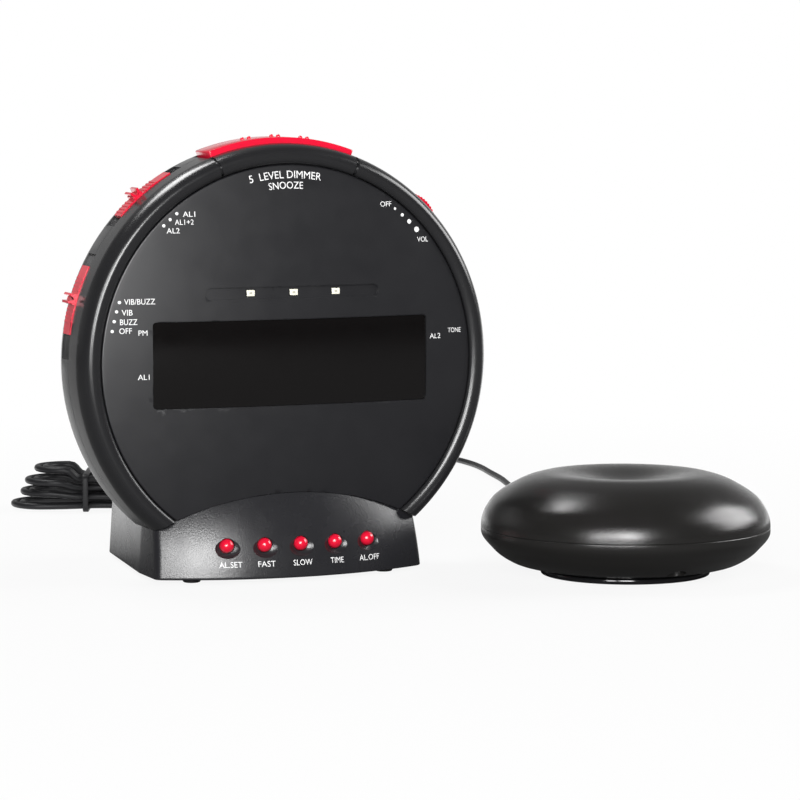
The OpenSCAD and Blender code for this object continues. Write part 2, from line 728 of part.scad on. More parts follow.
module button_cap(x) {
    face = front_surface(x, button_h);
    at_clock() {
        translate([x, face + button_r - 1.5, button_z]) sphere(r = button_r);
        rod_y(face + button_r - 1.5, face + 4, button_r, x, button_z);
        rod_y(face + 3.5, face + 4.5, 3.5, x, button_z);
        rod_y(face + 4, stem_y, 1.4, x, button_z);
    }
}

module button_alarm_set() color([0.85, 0.06, 0.2]) button_cap(button_x[0]);

module button_fast() color([0.85, 0.06, 0.2]) button_cap(button_x[1]);

module button_slow() color([0.85, 0.06, 0.2]) button_cap(button_x[2]);

module button_time() color([0.85, 0.06, 0.2]) button_cap(button_x[3]);

module button_alarm_off() color([0.85, 0.06, 0.2]) button_cap(button_x[4]);

module button_board() color([0.1, 0.35, 0.2]) at_clock() {
    block([-29, button_board_y, button_z - 5], [29, button_board_y + 1.6, button_z + 5]);
}

module tact_switches() color([0.2, 0.2, 0.2]) at_clock() {
    for (x = button_x) {
        block([x - 3, stem_y + button_travel + 1.1, button_z - 3], [x + 3, button_board_y, button_z + 3]);
        rod_y(stem_y + button_travel + 0.1, stem_y + button_travel + 1.2, 1.6, x, button_z);
    }
}

// Sockets, battery and its door

module power_jack() color([0.08, 0.08, 0.08]) at_clock() {
    difference() {
        union() {
            block([power_x - 4.3, base_rear_y - wall - 11, jack_z - 4.5],
                [power_x + 4.3, base_rear_y - wall, jack_z + 4.5]);
            rod_y(base_rear_y - wall - 1, base_rear_y + 0.3, 3.65, power_x, jack_z);
        }
        rod_y(base_rear_y - 9.5, base_rear_y + 2, 2.85, power_x, jack_z);
    }
    rod_y(base_rear_y - 10, base_rear_y - 0.6, 1.05, power_x, jack_z);
}

module shaker_jack() color([0.08, 0.08, 0.08]) at_clock() difference() {
    union() {
        block([jack_x - 4.3, base_rear_y - wall - 13, jack_z - 4.5],
            [jack_x + 4.3, base_rear_y - wall, jack_z + 4.5]);
        rod_y(base_rear_y - wall - 1, base_rear_y + 0.2, 3.05, jack_x, jack_z);
    }
    rod_y(base_rear_y - 14.5, base_rear_y + 2, 1.8, jack_x, jack_z);
}

module battery_door() color([0.14, 0.14, 0.15]) at_clock() {
    block([door_x0, hinge_y - 1, hinge_z], [door_x1, hinge_y + 1, door_top]);
    translate([door_x0, hinge_y, hinge_z]) rotate([0, 90, 0]) cylinder(h = door_x1 - door_x0, r = 1);
    translate([door_x0 - 1.4, hinge_y, hinge_z]) rotate([0, 90, 0])
        cylinder(h = door_x1 - door_x0 + 2.8, r = 0.7);
    for (k = [0:3]) block([(door_x0 + door_x1) / 2 - 5, hinge_y + 0.9, door_top - 3 - 1.2 * k],
        [(door_x0 + door_x1) / 2 + 5, hinge_y + 1.3, door_top - 2.5 - 1.2 * k]);
}

module backup_battery() color([0.5, 0.5, 0.52]) at_clock() {
    block([cell_x, cell_y, cell_z], [cell_x + cell[0], cell_y + cell[1] - 0.2, cell_z + cell[2]]);
    for (side = [-1, 1]) rod_y(cell_y - 2, cell_y + 0.1, side > 0 ? 3.2 : 2.6,
        cell_x + cell[0] / 2 + side * 6.3, cell_z + cell[2] / 2);
}

module battery_snap() color([0.05, 0.05, 0.05]) at_clock() {
    block([cell_x + 1, cell_y - 4, cell_z + 1], [cell_x + cell[0] - 1, cell_y - 2, cell_z + cell[2] - 2]);
}

// Plug and cord

module plug_pin() color([0.8, 0.8, 0.8]) at_clock() {
    rod_y(base_rear_y - 13, base_rear_y + 1.6, 1.75, jack_x, jack_z);
    translate([jack_x, base_rear_y - 13, jack_z]) rotate([90, 0, 0]) cylinder(h = 1.2, r1 = 1.75, r2 = 0.8);
}

module plug_body() color([0.06, 0.06, 0.06]) at_clock() difference() {
    translate([jack_x, 0, jack_z]) spun([[0, base_rear_y + 0.2], [3.6, base_rear_y + 0.2],
        [4.1, base_rear_y + 1.2], [4.1, base_rear_y + 13], [3.4, base_rear_y + 14.5],
        [2.6, base_rear_y + 15], [1.7, base_rear_y + 30.7], [0, base_rear_y + 30.7]]);
    rod_y(base_rear_y, base_rear_y + 1.6, 1.75, jack_x, jack_z);
}

// Round tube along a list of points: rings of points, closed at both ends

function unit(v) = v / norm(v);
function way(p, i) = unit(p[min(i + 1, len(p) - 1)] - p[max(i - 1, 0)]);
function side_of(w) = unit(cross(w, abs(w[2]) > 0.9 ? [1, 0, 0] : [0, 0, 1]));
function ring_at(c, w, r, n) = let (s = side_of(w), u = cross(s, w))
    [for (k = [0:n - 1]) c + r * cos((k + 0.5) * 360 / n) * s + r * sin((k + 0.5) * 360 / n) * u];
function mid_points(p) = concat([for (i = [0:len(p) - 2]) each [p[i], i == 0 || i == len(p) - 2
    ? (p[i] + p[i + 1]) / 2
    : (9 * (p[i] + p[i + 1]) - p[i - 1] - p[i + 2]) / 16]], [p[len(p) - 1]]);

module tube(p, r, n) {
    rings = [for (i = [0:len(p) - 1]) ring_at(p[i], way(p, i), r, n)];
    last = (len(p) - 1) * n;
    faces = concat(
        [for (i = [0:len(p) - 2], k = [0:n - 1]) each [
            [i * n + k, i * n + (k + 1) % n, (i + 1) * n + k],
            [i * n + (k + 1) % n, (i + 1) * n + (k + 1) % n, (i + 1) * n + k]]],
        [for (k = [1:n - 2]) [0, k + 1, k]],
        [for (k = [1:n - 2]) [last, last + k, last + k + 1]]);
    polyhedron(points = [for (ring = rings) each ring], faces = faces, convexity = 10);
}

// The hank: racetrack loops in four layers, drawn in at the waist

hank_at = [-41, 190];
hank_turn = -22;
hank_end = 6.6;
hank_waist = 3;
hank_step = cord_d + 0.6;
layer_step = cord_d + 0.9;
tie_x = -6;
tie_t = 0.8;
hank_z = cord_r + tie_t + 0.1;
run_rings = 6;
loop_rings = 24;
total_rings = 4 * hank_loops * loop_rings - 6;

// Depth in the spiral, in loops out from the innermost, after t loops
function spiral_at(t) = let (layer = floor(t / hank_loops), s = t - layer * hank_loops)
    layer % 2 == 0 ? hank_loops - s : s;
// Height of the cord's middle after t loops: each climb takes one run
function climb_at(t) = let (layer = floor(t / hank_loops), s = t - layer * hank_loops)
    layer > 0 && s < 0.2 ? layer - 1 + s * 5 : layer;
function half_width(x) = hank_end - (hank_end - hank_waist) * pow(cos(180 * x / hank_run), 2);
function hank_flat(t) = let (q = (t - floor(t)) * 4, d = spiral_at(t) * hank_step, h = hank_run / 2)
    q < 1 ? [h - q * hank_run, half_width(h - q * hank_run) + d]
    : q < 2 ? [-h - (hank_end + d) * sin((q - 1) * 180), (hank_end + d) * cos((q - 1) * 180)]
    : q < 3 ? [-h + (q - 2) * hank_run, -half_width(-h + (q - 2) * hank_run) - d]
    : [h + (hank_end + d) * sin((q - 3) * 180), -(hank_end + d) * cos((q - 3) * 180)];
function hank_point(t) = let (p = hank_flat(t), c = cos(hank_turn), s = sin(hank_turn))
    [hank_at[0] + p[0] * c - p[1] * s, hank_at[1] + p[0] * s + p[1] * c,
        hank_z + climb_at(t) * layer_step];
hank_axis = [cos(hank_turn), sin(hank_turn), 0];
hank_line = [for (i = [0:total_rings]) hank_point(i / loop_rings)];
hank_in = hank_line[0] + hank_axis * cord_d;
hank_out = hank_line[total_rings] + hank_axis * cord_d;
hank_path = concat([hank_in], hank_line, [hank_out]);
hank_gap = min([for (i = [0:total_rings]) for (j = [i + 7:1:total_rings])
    norm(hank_line[i] - hank_line[j])]) - cord_d;
function route_length(p) = len(p) < 2 ? 0 : [for (i = 0, sum = 0; i < len(p); i = i + 1,
    sum = sum + (i < len(p) ? norm(p[i] - p[i - 1]) : 0)) sum][len(p) - 1];

shaker_path = mid_points(concat([[shaker_x, shaker_y + relief_end, exit_z]], shaker_route,
    [hank_in + hank_axis * 7, hank_in]));
plug_path = mid_points(concat([hank_out, hank_out + hank_axis * 7,
    hank_out + hank_axis * 18 - [0, 0, 4.5], hank_out + hank_axis * 28 - [0, 0, 7.5]],
    plug_route, [plug_end + [0, 5, 0], plug_end]));

echo(hank_gap = hank_gap, hank_length = route_length(hank_path),
    shaker_length = route_length(shaker_path), plug_length = route_length(plug_path),
    rings = len(shaker_path) + len(plug_path));

module cord_to_shaker() color([0.05, 0.05, 0.05]) tube(shaker_path, cord_r, 8);

module cord_hank() color([0.05, 0.05, 0.05]) tube(hank_path, cord_r, 6);

module cord_to_plug() color([0.05, 0.05, 0.05]) tube(plug_path, cord_r, 8);

module cord_tie() color([0.05, 0.05, 0.05]) {
    w = 2 * (half_width(tie_x) + (hank_loops + 0.2) * hank_step) + cord_d + 0.6;
    h = 3 * layer_step + cord_d + 0.2;
    translate([hank_at[0], hank_at[1], 0]) rotate([0, 0, hank_turn]) difference() {
        block([tie_x - 1, -w / 2 - tie_t, 0], [tie_x + 1, w / 2 + tie_t, h + 2 * tie_t]);
        block([tie_x - 2, -w / 2, tie_t], [tie_x + 2, w / 2, h + tie_t]);
    }
}

// Shaker

top_side = [[0, 0], [-0.2, 0.14], [-0.9, 0.27], [-1.9, 0.38], [-3.8, 0.53], [-6.7, 0.665],
    [-10.4, 0.795], [-13.4, 0.88], [-16.4, 0.94], [-19.7, 0.985], [-22.7, 1]];
low_side = [[0, 1], [-0.1, 0.85], [-1, 0.72], [-2.9, 0.56], [-5, 0.4], [-7.6, 0.265],
    [-10.9, 0.15], [-16.3, 0.06]];
rim_r = shaker_r - 22.7;
low_z = 1.6;

function top_point(p, d) = [shaker_r - d + p[0], shaker_seam + (shaker_h - d - shaker_seam) * p[1]];
function low_point(p, d) = [shaker_r - d + p[0], low_z + d + (shaker_seam - low_z - d) * p[1]];
function dish_points(d) = [for (i = [1:10]) let (k = i / 10)
    [(rim_r - d) * (1 - k), shaker_h - d - dish_depth * (1 - cos(180 * k)) / 2]];

module top_solid(d) {
    rotate_extrude() polygon(concat([[0, shaker_seam]], [for (p = mid_points(top_side)) top_point(p, d)], dish_points(d)));
}

module low_solid(d) {
    rotate_extrude() polygon(concat([[0, shaker_seam]], [for (p = low_side) low_point(p, d)], [[0, low_z + d]]));
}

screw_at = [for (a = [30, 150, 270]) [36 * cos(a), 36 * sin(a)]];

module shaker_top() color([0.1, 0.1, 0.1]) at_shaker() difference() {
    union() {
        difference() {
            top_solid(0);
            translate([0, 0, -0.01]) top_solid(shaker_wall);
        }
        intersection() {
            top_solid(1);
            for (p = screw_at) translate([p[0], p[1], shaker_seam]) cylinder(h = 20, r = 3);
        }
    }
    for (p = screw_at) translate([p[0], p[1], shaker_seam - 1]) cylinder(h = 8, r = 1.2);
}

module shaker_bottom() color([0.1, 0.1, 0.1]) at_shaker() difference() {
    union() {
        difference() {
            low_solid(0);
            translate([0, 0, 0.01]) low_solid(shaker_wall);
        }
        intersection() {
            low_solid(1);
            union() {
                for (p = screw_at) translate([p[0], p[1], 0]) cylinder(h = shaker_seam, r = 3.4);
                for (x = [-13, 3]) block([x - 1.5, -9, low_z + 1], [x + 1.5, 9, motor_z - 4]);
                for (sy = [-1, 1]) translate([-5, sy * 16, low_z + 1]) cylinder(h = motor_z - low_z - 6, r = 3.2);
                block([-6, 36, low_z + 1], [6, 41, shaker_seam]);
            }
        }
    }
    translate([-40, 0, motor_z]) rotate([0, 90, 0]) cylinder(h = 80, r = motor_r);
    for (p = screw_at) translate([p[0], p[1], 0]) {
        cylinder(h = 20, r = 1.5);
        cylinder(h = 9, r = 2.9);
    }
    for (sy = [-1, 1]) translate([-5, sy * 16, low_z + shaker_wall]) cylinder(h = 20, r = 1.1);
    translate([0, 30, exit_z]) rotate([-90, 0, 0]) cylinder(h = 30, r = 3.4);
    translate([0, 39, exit_z]) rotate([-90, 0, 0]) cylinder(h = 3.05, r = 4.6);
}

module shaker_foot_ring() color([0.04, 0.04, 0.04]) at_shaker() difference() {
    cylinder(h = low_z, r = ring_r);
    translate([0, 0, -1]) cylinder(h = 4, r = ring_r - 5);
}

module shaker_motor() color([0.7, 0.7, 0.72]) at_shaker() difference() {
    translate([-16, 0, motor_z]) rotate([0, 90, 0]) {
        cylinder(h = 22, r = motor_r - 0.05);
        cylinder(h = 24.5, r = 3.5);
    }
    translate([0, 0, motor_z]) rotate([0, 90, 0]) cylinder(h = 20, r = 1.04);
}

module motor_clamp() color([0.65, 0.65, 0.67]) at_shaker() difference() {
    union() {
        intersection() {
            translate([-8, 0, motor_z]) rotate([0, 90, 0]) difference() {
                cylinder(h = 6, r = motor_r + 1.2);
                translate([0, 0, -1]) cylinder(h = 8, r = motor_r);
            }
            block([-10, -20, motor_z - 5], [0, 20, motor_z + 20]);
        }
        for (sy = [-1, 1]) block([-8, sy > 0 ? 10.4 : -19, motor_z - 5], [-2, sy > 0 ? 19 : -10.4, motor_z - 3.8]);
    }
    for (sy = [-1, 1]) translate([-5, sy * 16, 0]) cylinder(h = 20, r = 1.4);
}

module eccentric_weight() color([0.6, 0.55, 0.4]) at_shaker() translate([0, 0, motor_z]) {
    rotate([0, 90, 0]) cylinder(h = 21, r = 1);
    difference() {
        translate([11, 0, 0]) rotate([0, 90, 0]) cylinder(h = 8, r = 9);
        block([10, -12, 2], [20, 12, 12]);
    }
}

module shaker_relief() color([0.05, 0.05, 0.05]) at_shaker() translate([0, 0, exit_z]) rotate([-90, 0, 0]) {
    translate([0, 0, 39]) cylinder(h = 3, r = 4.5);
    translate([0, 0, 36]) cylinder(h = 10.5, r = 3.35);
    translate([0, 0, 46.4]) cylinder(h = relief_end - 46.4, r1 = 3, r2 = 1.6);
}

module shaker_screws() color([0.7, 0.7, 0.7]) at_shaker() {
    for (p = screw_at) translate([p[0], p[1], 9]) rotate([180, 0, 0]) screw(1.2, 2.6, 12, 1.6);
    for (sy = [-1, 1]) translate([-5, sy * 16, motor_z - 3.8]) screw(1.1, 2.2, 5, 1.4);
}

face_panel();
display_lens();
display_module();
digit_segments();
alert_lamps();
lamp_board();
front_case();
rear_case();
main_board();
board_parts();
snooze_bar();
snooze_springs();
snooze_switch();
snooze_board();
alarm_slider();
mode_slider();
alarm_switch();
mode_switch();
volume_wheel();
tone_wheel();
volume_pot();
tone_pot();
case_screws();
speaker_frame();
speaker_magnet();
speaker_cone();
speaker_screws();
hour_switch();
hour_knob();
base_shell();
base_plate();
base_screws();
disc_screws();
feet();
button_alarm_set();
button_fast();
button_slow();
button_time();
button_alarm_off();
button_board();
tact_switches();
power_jack();
shaker_jack();
battery_door();
backup_battery();
battery_snap();
plug_pin();
plug_body();
cord_to_plug();
cord_hank();
cord_tie();
cord_to_shaker();
shaker_top();
shaker_bottom();
shaker_foot_ring();
shaker_motor();
motor_clamp();
eccentric_weight();
shaker_relief();
shaker_screws();
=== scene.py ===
"""Looks of a bed shaker alarm clock: a round clock on a bowed base, its wired puck, floor and lights."""

import math
import bmesh
import bpy
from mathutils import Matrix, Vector


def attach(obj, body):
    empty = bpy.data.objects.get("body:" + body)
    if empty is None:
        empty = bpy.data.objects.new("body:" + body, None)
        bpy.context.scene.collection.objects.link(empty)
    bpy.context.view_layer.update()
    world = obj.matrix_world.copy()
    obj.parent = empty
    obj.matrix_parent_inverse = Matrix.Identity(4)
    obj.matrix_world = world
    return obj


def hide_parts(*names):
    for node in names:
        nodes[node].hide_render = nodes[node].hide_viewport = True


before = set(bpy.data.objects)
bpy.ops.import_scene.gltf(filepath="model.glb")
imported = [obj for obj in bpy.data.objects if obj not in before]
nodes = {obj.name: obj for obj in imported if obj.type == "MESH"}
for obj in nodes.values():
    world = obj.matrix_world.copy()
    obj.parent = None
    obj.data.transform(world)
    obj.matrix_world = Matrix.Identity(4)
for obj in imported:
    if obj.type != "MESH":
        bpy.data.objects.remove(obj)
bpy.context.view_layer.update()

# Sizes in millimetres, as in the part's source

MM = 0.001
CLOCK = Vector((-38.9, 5.8, 68.0))
SHAKER = Vector((62.5, -26.1, 0.0))
DISC_R = 67.8
SEAM_R = 61.5
PANEL_R = 61.2
DOME = 5.72
PANEL_T = 2.2
WALL = 2.2
PEAK_R = 64.2
PEAK_Y = -1.3
BAND_Y = 5.5
SEAT_Y = 2.3
FLANGE_Y = 4.2
PART_Y = 13.8
DISC_DEPTH = 25.8
BASE_Z = -66.6
FRONT_R = 97.5
FRONT_MID = 85.9
BASE_HW = 44.6
BASE_REAR = 65.5
ARCH_Z = -41.0
ARCH_R = 96.0
REAR_Z = -44.0
SIDE_LEAN = 3.8
TAPER = 6.8
KINK_Y = 25.8
WINDOW_W = 90.8
WINDOW_H = 26.9
SLOT_W = 57.0
SLOT_H = 3.4
LAMP_Z = 21.8
LAMP_PITCH = 14.1
LAMP_HALF_W = 1.4
LAMP_HALF_H = 1.05
DOTS_R = 58.9
NOTCH_A = 20.6
BUTTON_Z = -56.3
BUTTON_PITCH = 11.7
BUTTON_MID = 0.4
BUTTON_R = 2.2
SNOOZE_HALF = 20.3
SNOOZE_TOP = 69.6
SNOOZE_Y = 6.1, 19.2
CHANNEL_R = 66.6
ALARM_CHANNEL = 129.2, 8.8, 2.7, 2.7
MODE_CHANNEL = 162.9, 9.3, 3, 6
SHAKER_R = 45.7
SHAKER_SEAM = 15.0
SHAKER_H = 32.0
SHAKER_LOW = 1.6
TOP_RIM = 22.7
DISH_DEPTH = 3.0
EXIT_Z = 11.0
CORD_D = 2.3
POWER_X = 11.0
JACK_X = 21.0
JACK_Z = -54.0
CHANNEL_Y = 12.6, 19.7
BOSS_ANGLES = 28, 150, 210, 330
BOSS_R = 3.2
POST_R = 3.4
ARCH_GAP = 0.15
BASE_POSTS = (-36.5, 14, -50), (36.5, 14, -50), (-31, 57, -45), (31, 57, -45)


def dome_y(r):
    """How far the face stands before the bezel seam at a distance from the middle."""
    return -DOME * (1 - (r / SEAM_R) ** 2)


def lean(h):
    """How far the bowed front of the base falls back at a height."""
    return 0.12 * h + h * h / 125


def bow_y(x, h):
    """The bowed front's place at a height over the base's foot."""
    return FRONT_MID - math.sqrt((FRONT_R - lean(h)) ** 2 - x * x)


# Modelling helpers

def pick(piece):
    if bpy.context.object and bpy.context.object.mode != "OBJECT":
        bpy.ops.object.mode_set(mode="OBJECT")
    bpy.ops.object.select_all(action="DESELECT")
    if piece:
        piece.select_set(True)
        bpy.context.view_layer.objects.active = piece
    return piece


def added(name, operator, **settings):
    """A primitive under its own name, with its place in its mesh."""
    pick(None)
    operator(**settings)
    piece = bpy.context.object
    piece.name = name
    piece.data.name = name
    bpy.ops.object.transform_apply(location=True, rotation=True, scale=True)
    return piece


def modified(piece, kind, **settings):
    pick(piece)
    modifier = piece.modifiers.new(kind.title(), kind)
    for key, value in settings.items():
        setattr(modifier, key, value)
    bpy.ops.object.modifier_apply(modifier=modifier.name)
    return piece


def cut(piece, *cutters, operation="DIFFERENCE"):
    for cutter in cutters:
        modified(piece, "BOOLEAN", object=cutter, operation=operation, solver="EXACT")
        bpy.data.objects.remove(cutter)
    return piece


def rounded(piece, width, segments=2, angle=35):
    return modified(piece, "BEVEL", width=width * MM, segments=segments, limit_method="ANGLE",
                    angle_limit=math.radians(angle), use_clamp_overlap=True)


def smooth(piece, angle=32):
    pick(piece)
    bpy.ops.object.mode_set(mode="EDIT")
    bpy.ops.mesh.select_all(action="SELECT")
    bpy.ops.mesh.remove_doubles(threshold=0.002 * MM)
    bpy.ops.object.mode_set(mode="OBJECT")
    bpy.ops.object.shade_smooth_by_angle(angle=math.radians(angle))
    return piece


def joined(name, pieces):
    pick(pieces[0])
    for piece in pieces:
        piece.select_set(True)
    if len(pieces) > 1:
        bpy.ops.object.join()
    pieces[0].name = name
    pieces[0].data.name = name
    return pieces[0]


def block(name, low, high, home=CLOCK):
    low, high = Vector(low) + home, Vector(high) + home
    return added(name, bpy.ops.mesh.primitive_cube_add, size=1, location=(low + high) / 2 * MM,
                 scale=[(b - a) * MM for a, b in zip(low, high)])


def rod(name, start, end, radius, sides=64, home=CLOCK):
    """A round bar from one point to another."""
    start, end = Vector(start) + home, Vector(end) + home
    way = end - start
    return added(name, bpy.ops.mesh.primitive_cylinder_add, vertices=sides, radius=radius * MM,
                 depth=way.length * MM, location=(start + end) / 2 * MM,
                 rotation=way.to_track_quat("Z", "Y").to_euler())


def rod_y(name, y0, y1, radius, x=0.0, z=0.0, sides=64):
    return rod(name, (x, y0, z), (x, y1, z), radius, sides)


def rounded_block(name, low, high, corner, axis, home=CLOCK):
    """A block whose four edges along one axis are rounded."""
    piece = block(name, low, high, home)
    reach = (high[axis] - low[axis]) * MM / 2
    pick(piece)
    bpy.ops.object.mode_set(mode="EDIT")
    bpy.ops.mesh.select_mode(type="EDGE")
    bpy.ops.mesh.select_all(action="DESELECT")
    mesh = bmesh.from_edit_mesh(piece.data)
    for edge in mesh.edges:
        edge.select_set(abs(edge.verts[0].co[axis] - edge.verts[1].co[axis]) > reach)
    bmesh.update_edit_mesh(piece.data)
    bpy.ops.mesh.bevel(offset=corner * MM, segments=6, affect="EDGES")
    bpy.ops.mesh.select_mode(type="VERT")
    bpy.ops.object.mode_set(mode="OBJECT")
    return piece


def ball(name, centre, radii, segments=48, turn=0.0):
    return added(name, bpy.ops.mesh.primitive_uv_sphere_add, segments=segments, ring_count=segments // 2,
                 radius=MM, location=(Vector(centre) + CLOCK) * MM, scale=radii, rotation=(0, 0, turn))


def turned(name, outline, home=CLOCK, upright=False, steps=160, start=0.0, sweep=360.0):
    """A profile drawn by extruding one corner, then spun about the disc's axis or an upright one."""
    home = home * MM

    def at(point):
        radius, along = point[0] * MM, point[1] * MM
        if upright:
            return home + Vector((radius, 0, along))
        return home + Vector((radius * math.cos(math.radians(start)), along,
                              radius * math.sin(math.radians(start))))

    piece = added(name, bpy.ops.mesh.primitive_plane_add, size=0.1 * MM, location=at(outline[0]))
    bpy.ops.object.mode_set(mode="EDIT")
    bpy.ops.mesh.select_all(action="SELECT")
    bpy.ops.mesh.merge(type="CENTER")
    for before, after in zip(outline, outline[1:]):
        bpy.ops.mesh.extrude_region_move(TRANSFORM_OT_translate={"value": at(after) - at(before)})
    bpy.ops.mesh.select_all(action="SELECT")
    if sweep < 360:
        bpy.ops.mesh.remove_doubles(threshold=0.001 * MM)
        bpy.ops.mesh.edge_face_add()
    bpy.ops.mesh.spin(steps=steps, angle=math.radians(sweep), center=home,
                      axis=(0, 0, 1) if upright else (0, 1, 0))
    bpy.ops.mesh.select_all(action="SELECT")
    bpy.ops.mesh.remove_doubles(threshold=0.002 * MM)
    bpy.ops.mesh.normals_make_consistent(inside=False)
    bpy.ops.object.mode_set(mode="OBJECT")
    return piece


def arc_bar(name, a0, a1, r0, r1, y0, y1, steps=24):
    """A block bent round the disc between two angles."""
    outline = [(r0, y0), (r1, y0), (r1, y1), (r0, y1), (r0, y0)]
    return turned(name, outline, steps=steps, start=a0, sweep=a1 - a0)


def stacked(name, rings):
    """A solid raised from one closed outline through the next; each is a list of as many points."""
    piece = added(name, bpy.ops.mesh.primitive_circle_add, vertices=len(rings[0]), fill_type="NGON",
                  radius=MM)
    bpy.ops.object.mode_set(mode="EDIT")
    bpy.ops.mesh.select_all(action="SELECT")
    mesh = bmesh.from_edit_mesh(piece.data)
    spot = mesh.verts.layers.int.new("spot")
    for vert in mesh.verts:
        vert[spot] = vert.index
    for level, ring in enumerate(rings):
        if level:
            bmesh.update_edit_mesh(piece.data)
            bpy.ops.mesh.extrude_region_move(TRANSFORM_OT_translate={"value": (0, 0, MM)})
            mesh = bmesh.from_edit_mesh(piece.data)
            spot = mesh.verts.layers.int["spot"]
        for vert in mesh.verts:
            if vert.select:
                vert.co = (Vector(ring[vert[spot]]) + CLOCK) * MM
    bmesh.update_edit_mesh(piece.data)
    bpy.ops.mesh.select_all(action="SELECT")
    bpy.ops.mesh.normals_make_consistent(inside=False)
    bpy.ops.object.mode_set(mode="OBJECT")
    piece.data.attributes.remove(piece.data.attributes["spot"])
    return piece


def from_cad(name, node, edge=0.0):
    """A copy of a CAD node with its flats made whole, its edges rounded and its curves shaded smooth."""
    pick(None)
    piece = nodes[node].copy()
    piece.data = nodes[node].data.copy()
    piece.name = name
    piece.data.name = name
    piece.parent = None
    bpy.context.scene.collection.objects.link(piece)
    for key in list(piece.keys()):
        del piece[key]
    pick(piece)
    bpy.ops.mesh.customdata_custom_splitnormals_clear()
    bpy.ops.object.mode_set(mode="EDIT")
    bpy.ops.mesh.select_all(action="SELECT")
    bpy.ops.mesh.remove_doubles(threshold=0.002 * MM)
    if edge:
        bpy.ops.mesh.dissolve_limited(angle_limit=math.radians(0.5))
    bpy.ops.object.mode_set(mode="OBJECT")
    if edge:
        rounded(piece, edge)
    return smooth(piece)


def placed(piece, body, slot, finish, *stands_for):
    """Gives a piece its finish, the body it moves with and the CAD nodes it stands for."""
    piece.data.materials.clear()
    piece.data.materials.append(finish.material)
    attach(piece, body)
    if stands_for:
        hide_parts(*stands_for)
    return piece


# Shader helpers

class Value:
    """A node's output, which can be used in sums and products."""

    def __init__(self, finish, socket):
        self.finish = finish
        self.socket = socket

    def maths(self, operation, first, second):
        return self.finish.node("ShaderNodeMath", {"operation": operation}, {0: first, 1: second})

    def __add__(self, other):
        return self.maths("ADD", self, other)

    __radd__ = __add__

    def __sub__(self, other):
        return self.maths("SUBTRACT", self, other)

    def __rsub__(self, other):
        return self.maths("SUBTRACT", other, self)

    def __mul__(self, other):
        return self.maths("MULTIPLY", self, other)

    __rmul__ = __mul__

    def __abs__(self):
        return self.finish.node("ShaderNodeMath", {"operation": "ABSOLUTE"}, {0: self})

    def above(self, other):
        return self.maths("GREATER_THAN", self, other)

    def between(self, low, high):
        """Runs from 0 at low to 1 at high, and stays within."""
        return self.finish.node("ShaderNodeMapRange", {"clamp": True},
                                {"Value": self, "From Min": low, "From Max": high})


class Finish:
    """A material whose nodes are all made by one method."""

    def __init__(self, name, colour, roughness, **sockets):
        self.material = bpy.data.materials.new(name)
        self.material.use_nodes = True
        self.tree = self.material.node_tree
        self.shader = self.tree.nodes["Principled BSDF"]
        self.place = self.node("ShaderNodeTexCoord", output="Object")
        self.give("Base Color", colour4(colour))
        self.give("Roughness", roughness)
        for key, value in sockets.items():
            self.give(key.replace("_", " "), value)

    def node(self, kind, settings=None, values=None, output=0):
        made = self.tree.nodes.new(kind)
        for key, value in (settings or {}).items():
            setattr(made, key, value)
        for key, value in (values or {}).items():
            self.join(value, made.inputs[key])
        return Value(self, made.outputs[output])

    def join(self, value, socket):
        if isinstance(value, Value):
            self.tree.links.new(value.socket, socket)
        else:
            socket.default_value = value

    def give(self, name, value):
        self.join(value, self.shader.inputs[name])

    def noise(self, grain_mm, detail=2.0, rough=0.5):
        """Noise whose grains are about that many millimetres across."""
        return self.node("ShaderNodeTexNoise", None,
                         {"Vector": self.place, "Scale": 1 / MM / grain_mm, "Detail": detail,
                          "Roughness": rough}, "Fac")

    def cells(self, size_mm):
        """Distance from the nearest of many scattered points about that many millimetres apart."""
        return self.node("ShaderNodeTexVoronoi", None,
                         {"Vector": self.place, "Scale": 1 / MM / size_mm}, "Distance")

    def mix(self, amount, first, second):
        """Goes from the first colour to the second."""
        return self.node("ShaderNodeMix", {"data_type": "RGBA"},
                         {"Factor": amount, 6: colour4(first), 7: colour4(second)}, 2)

    def bump(self, height, depth_mm):
        self.give("Normal", self.node("ShaderNodeBump", None,
                                      {"Height": height, "Distance": depth_mm * MM, "Strength": 1.0}))

    def axis(self, name):
        return self.node("ShaderNodeSeparateXYZ", None, {0: self.place}, name)


def colour4(value):
    return (*value, 1.0) if isinstance(value, tuple) and len(value) == 3 else value


# Camera, first of all

FOCAL_PX = 3575.0
PICTURE_PX = 800.0
SENSOR_MM = 36.0
CAMERA_AT = Vector((-429.85, -1036.19, 163.63))
LOOK_TURN = math.radians(22.35)
LOOK_DOWN = math.radians(5.54)


def make_camera():
    data = bpy.data.cameras.new("photo_camera")
    data.sensor_width = SENSOR_MM
    data.lens = FOCAL_PX / PICTURE_PX * SENSOR_MM
    data.clip_start = 0.05
    data.clip_end = 20.0
    camera = bpy.data.objects.new("photo_camera", data)
    bpy.context.scene.collection.objects.link(camera)
    camera.location = CAMERA_AT * MM
    look = Vector((math.sin(LOOK_TURN) * math.cos(LOOK_DOWN), math.cos(LOOK_TURN) * math.cos(LOOK_DOWN),
                   -math.sin(LOOK_DOWN)))
    camera.rotation_mode = "QUATERNION"
    camera.rotation_quaternion = look.to_track_quat("-Z", "Y")
    bpy.context.scene.camera = camera


make_camera()

# Cord, along the same route as the part's

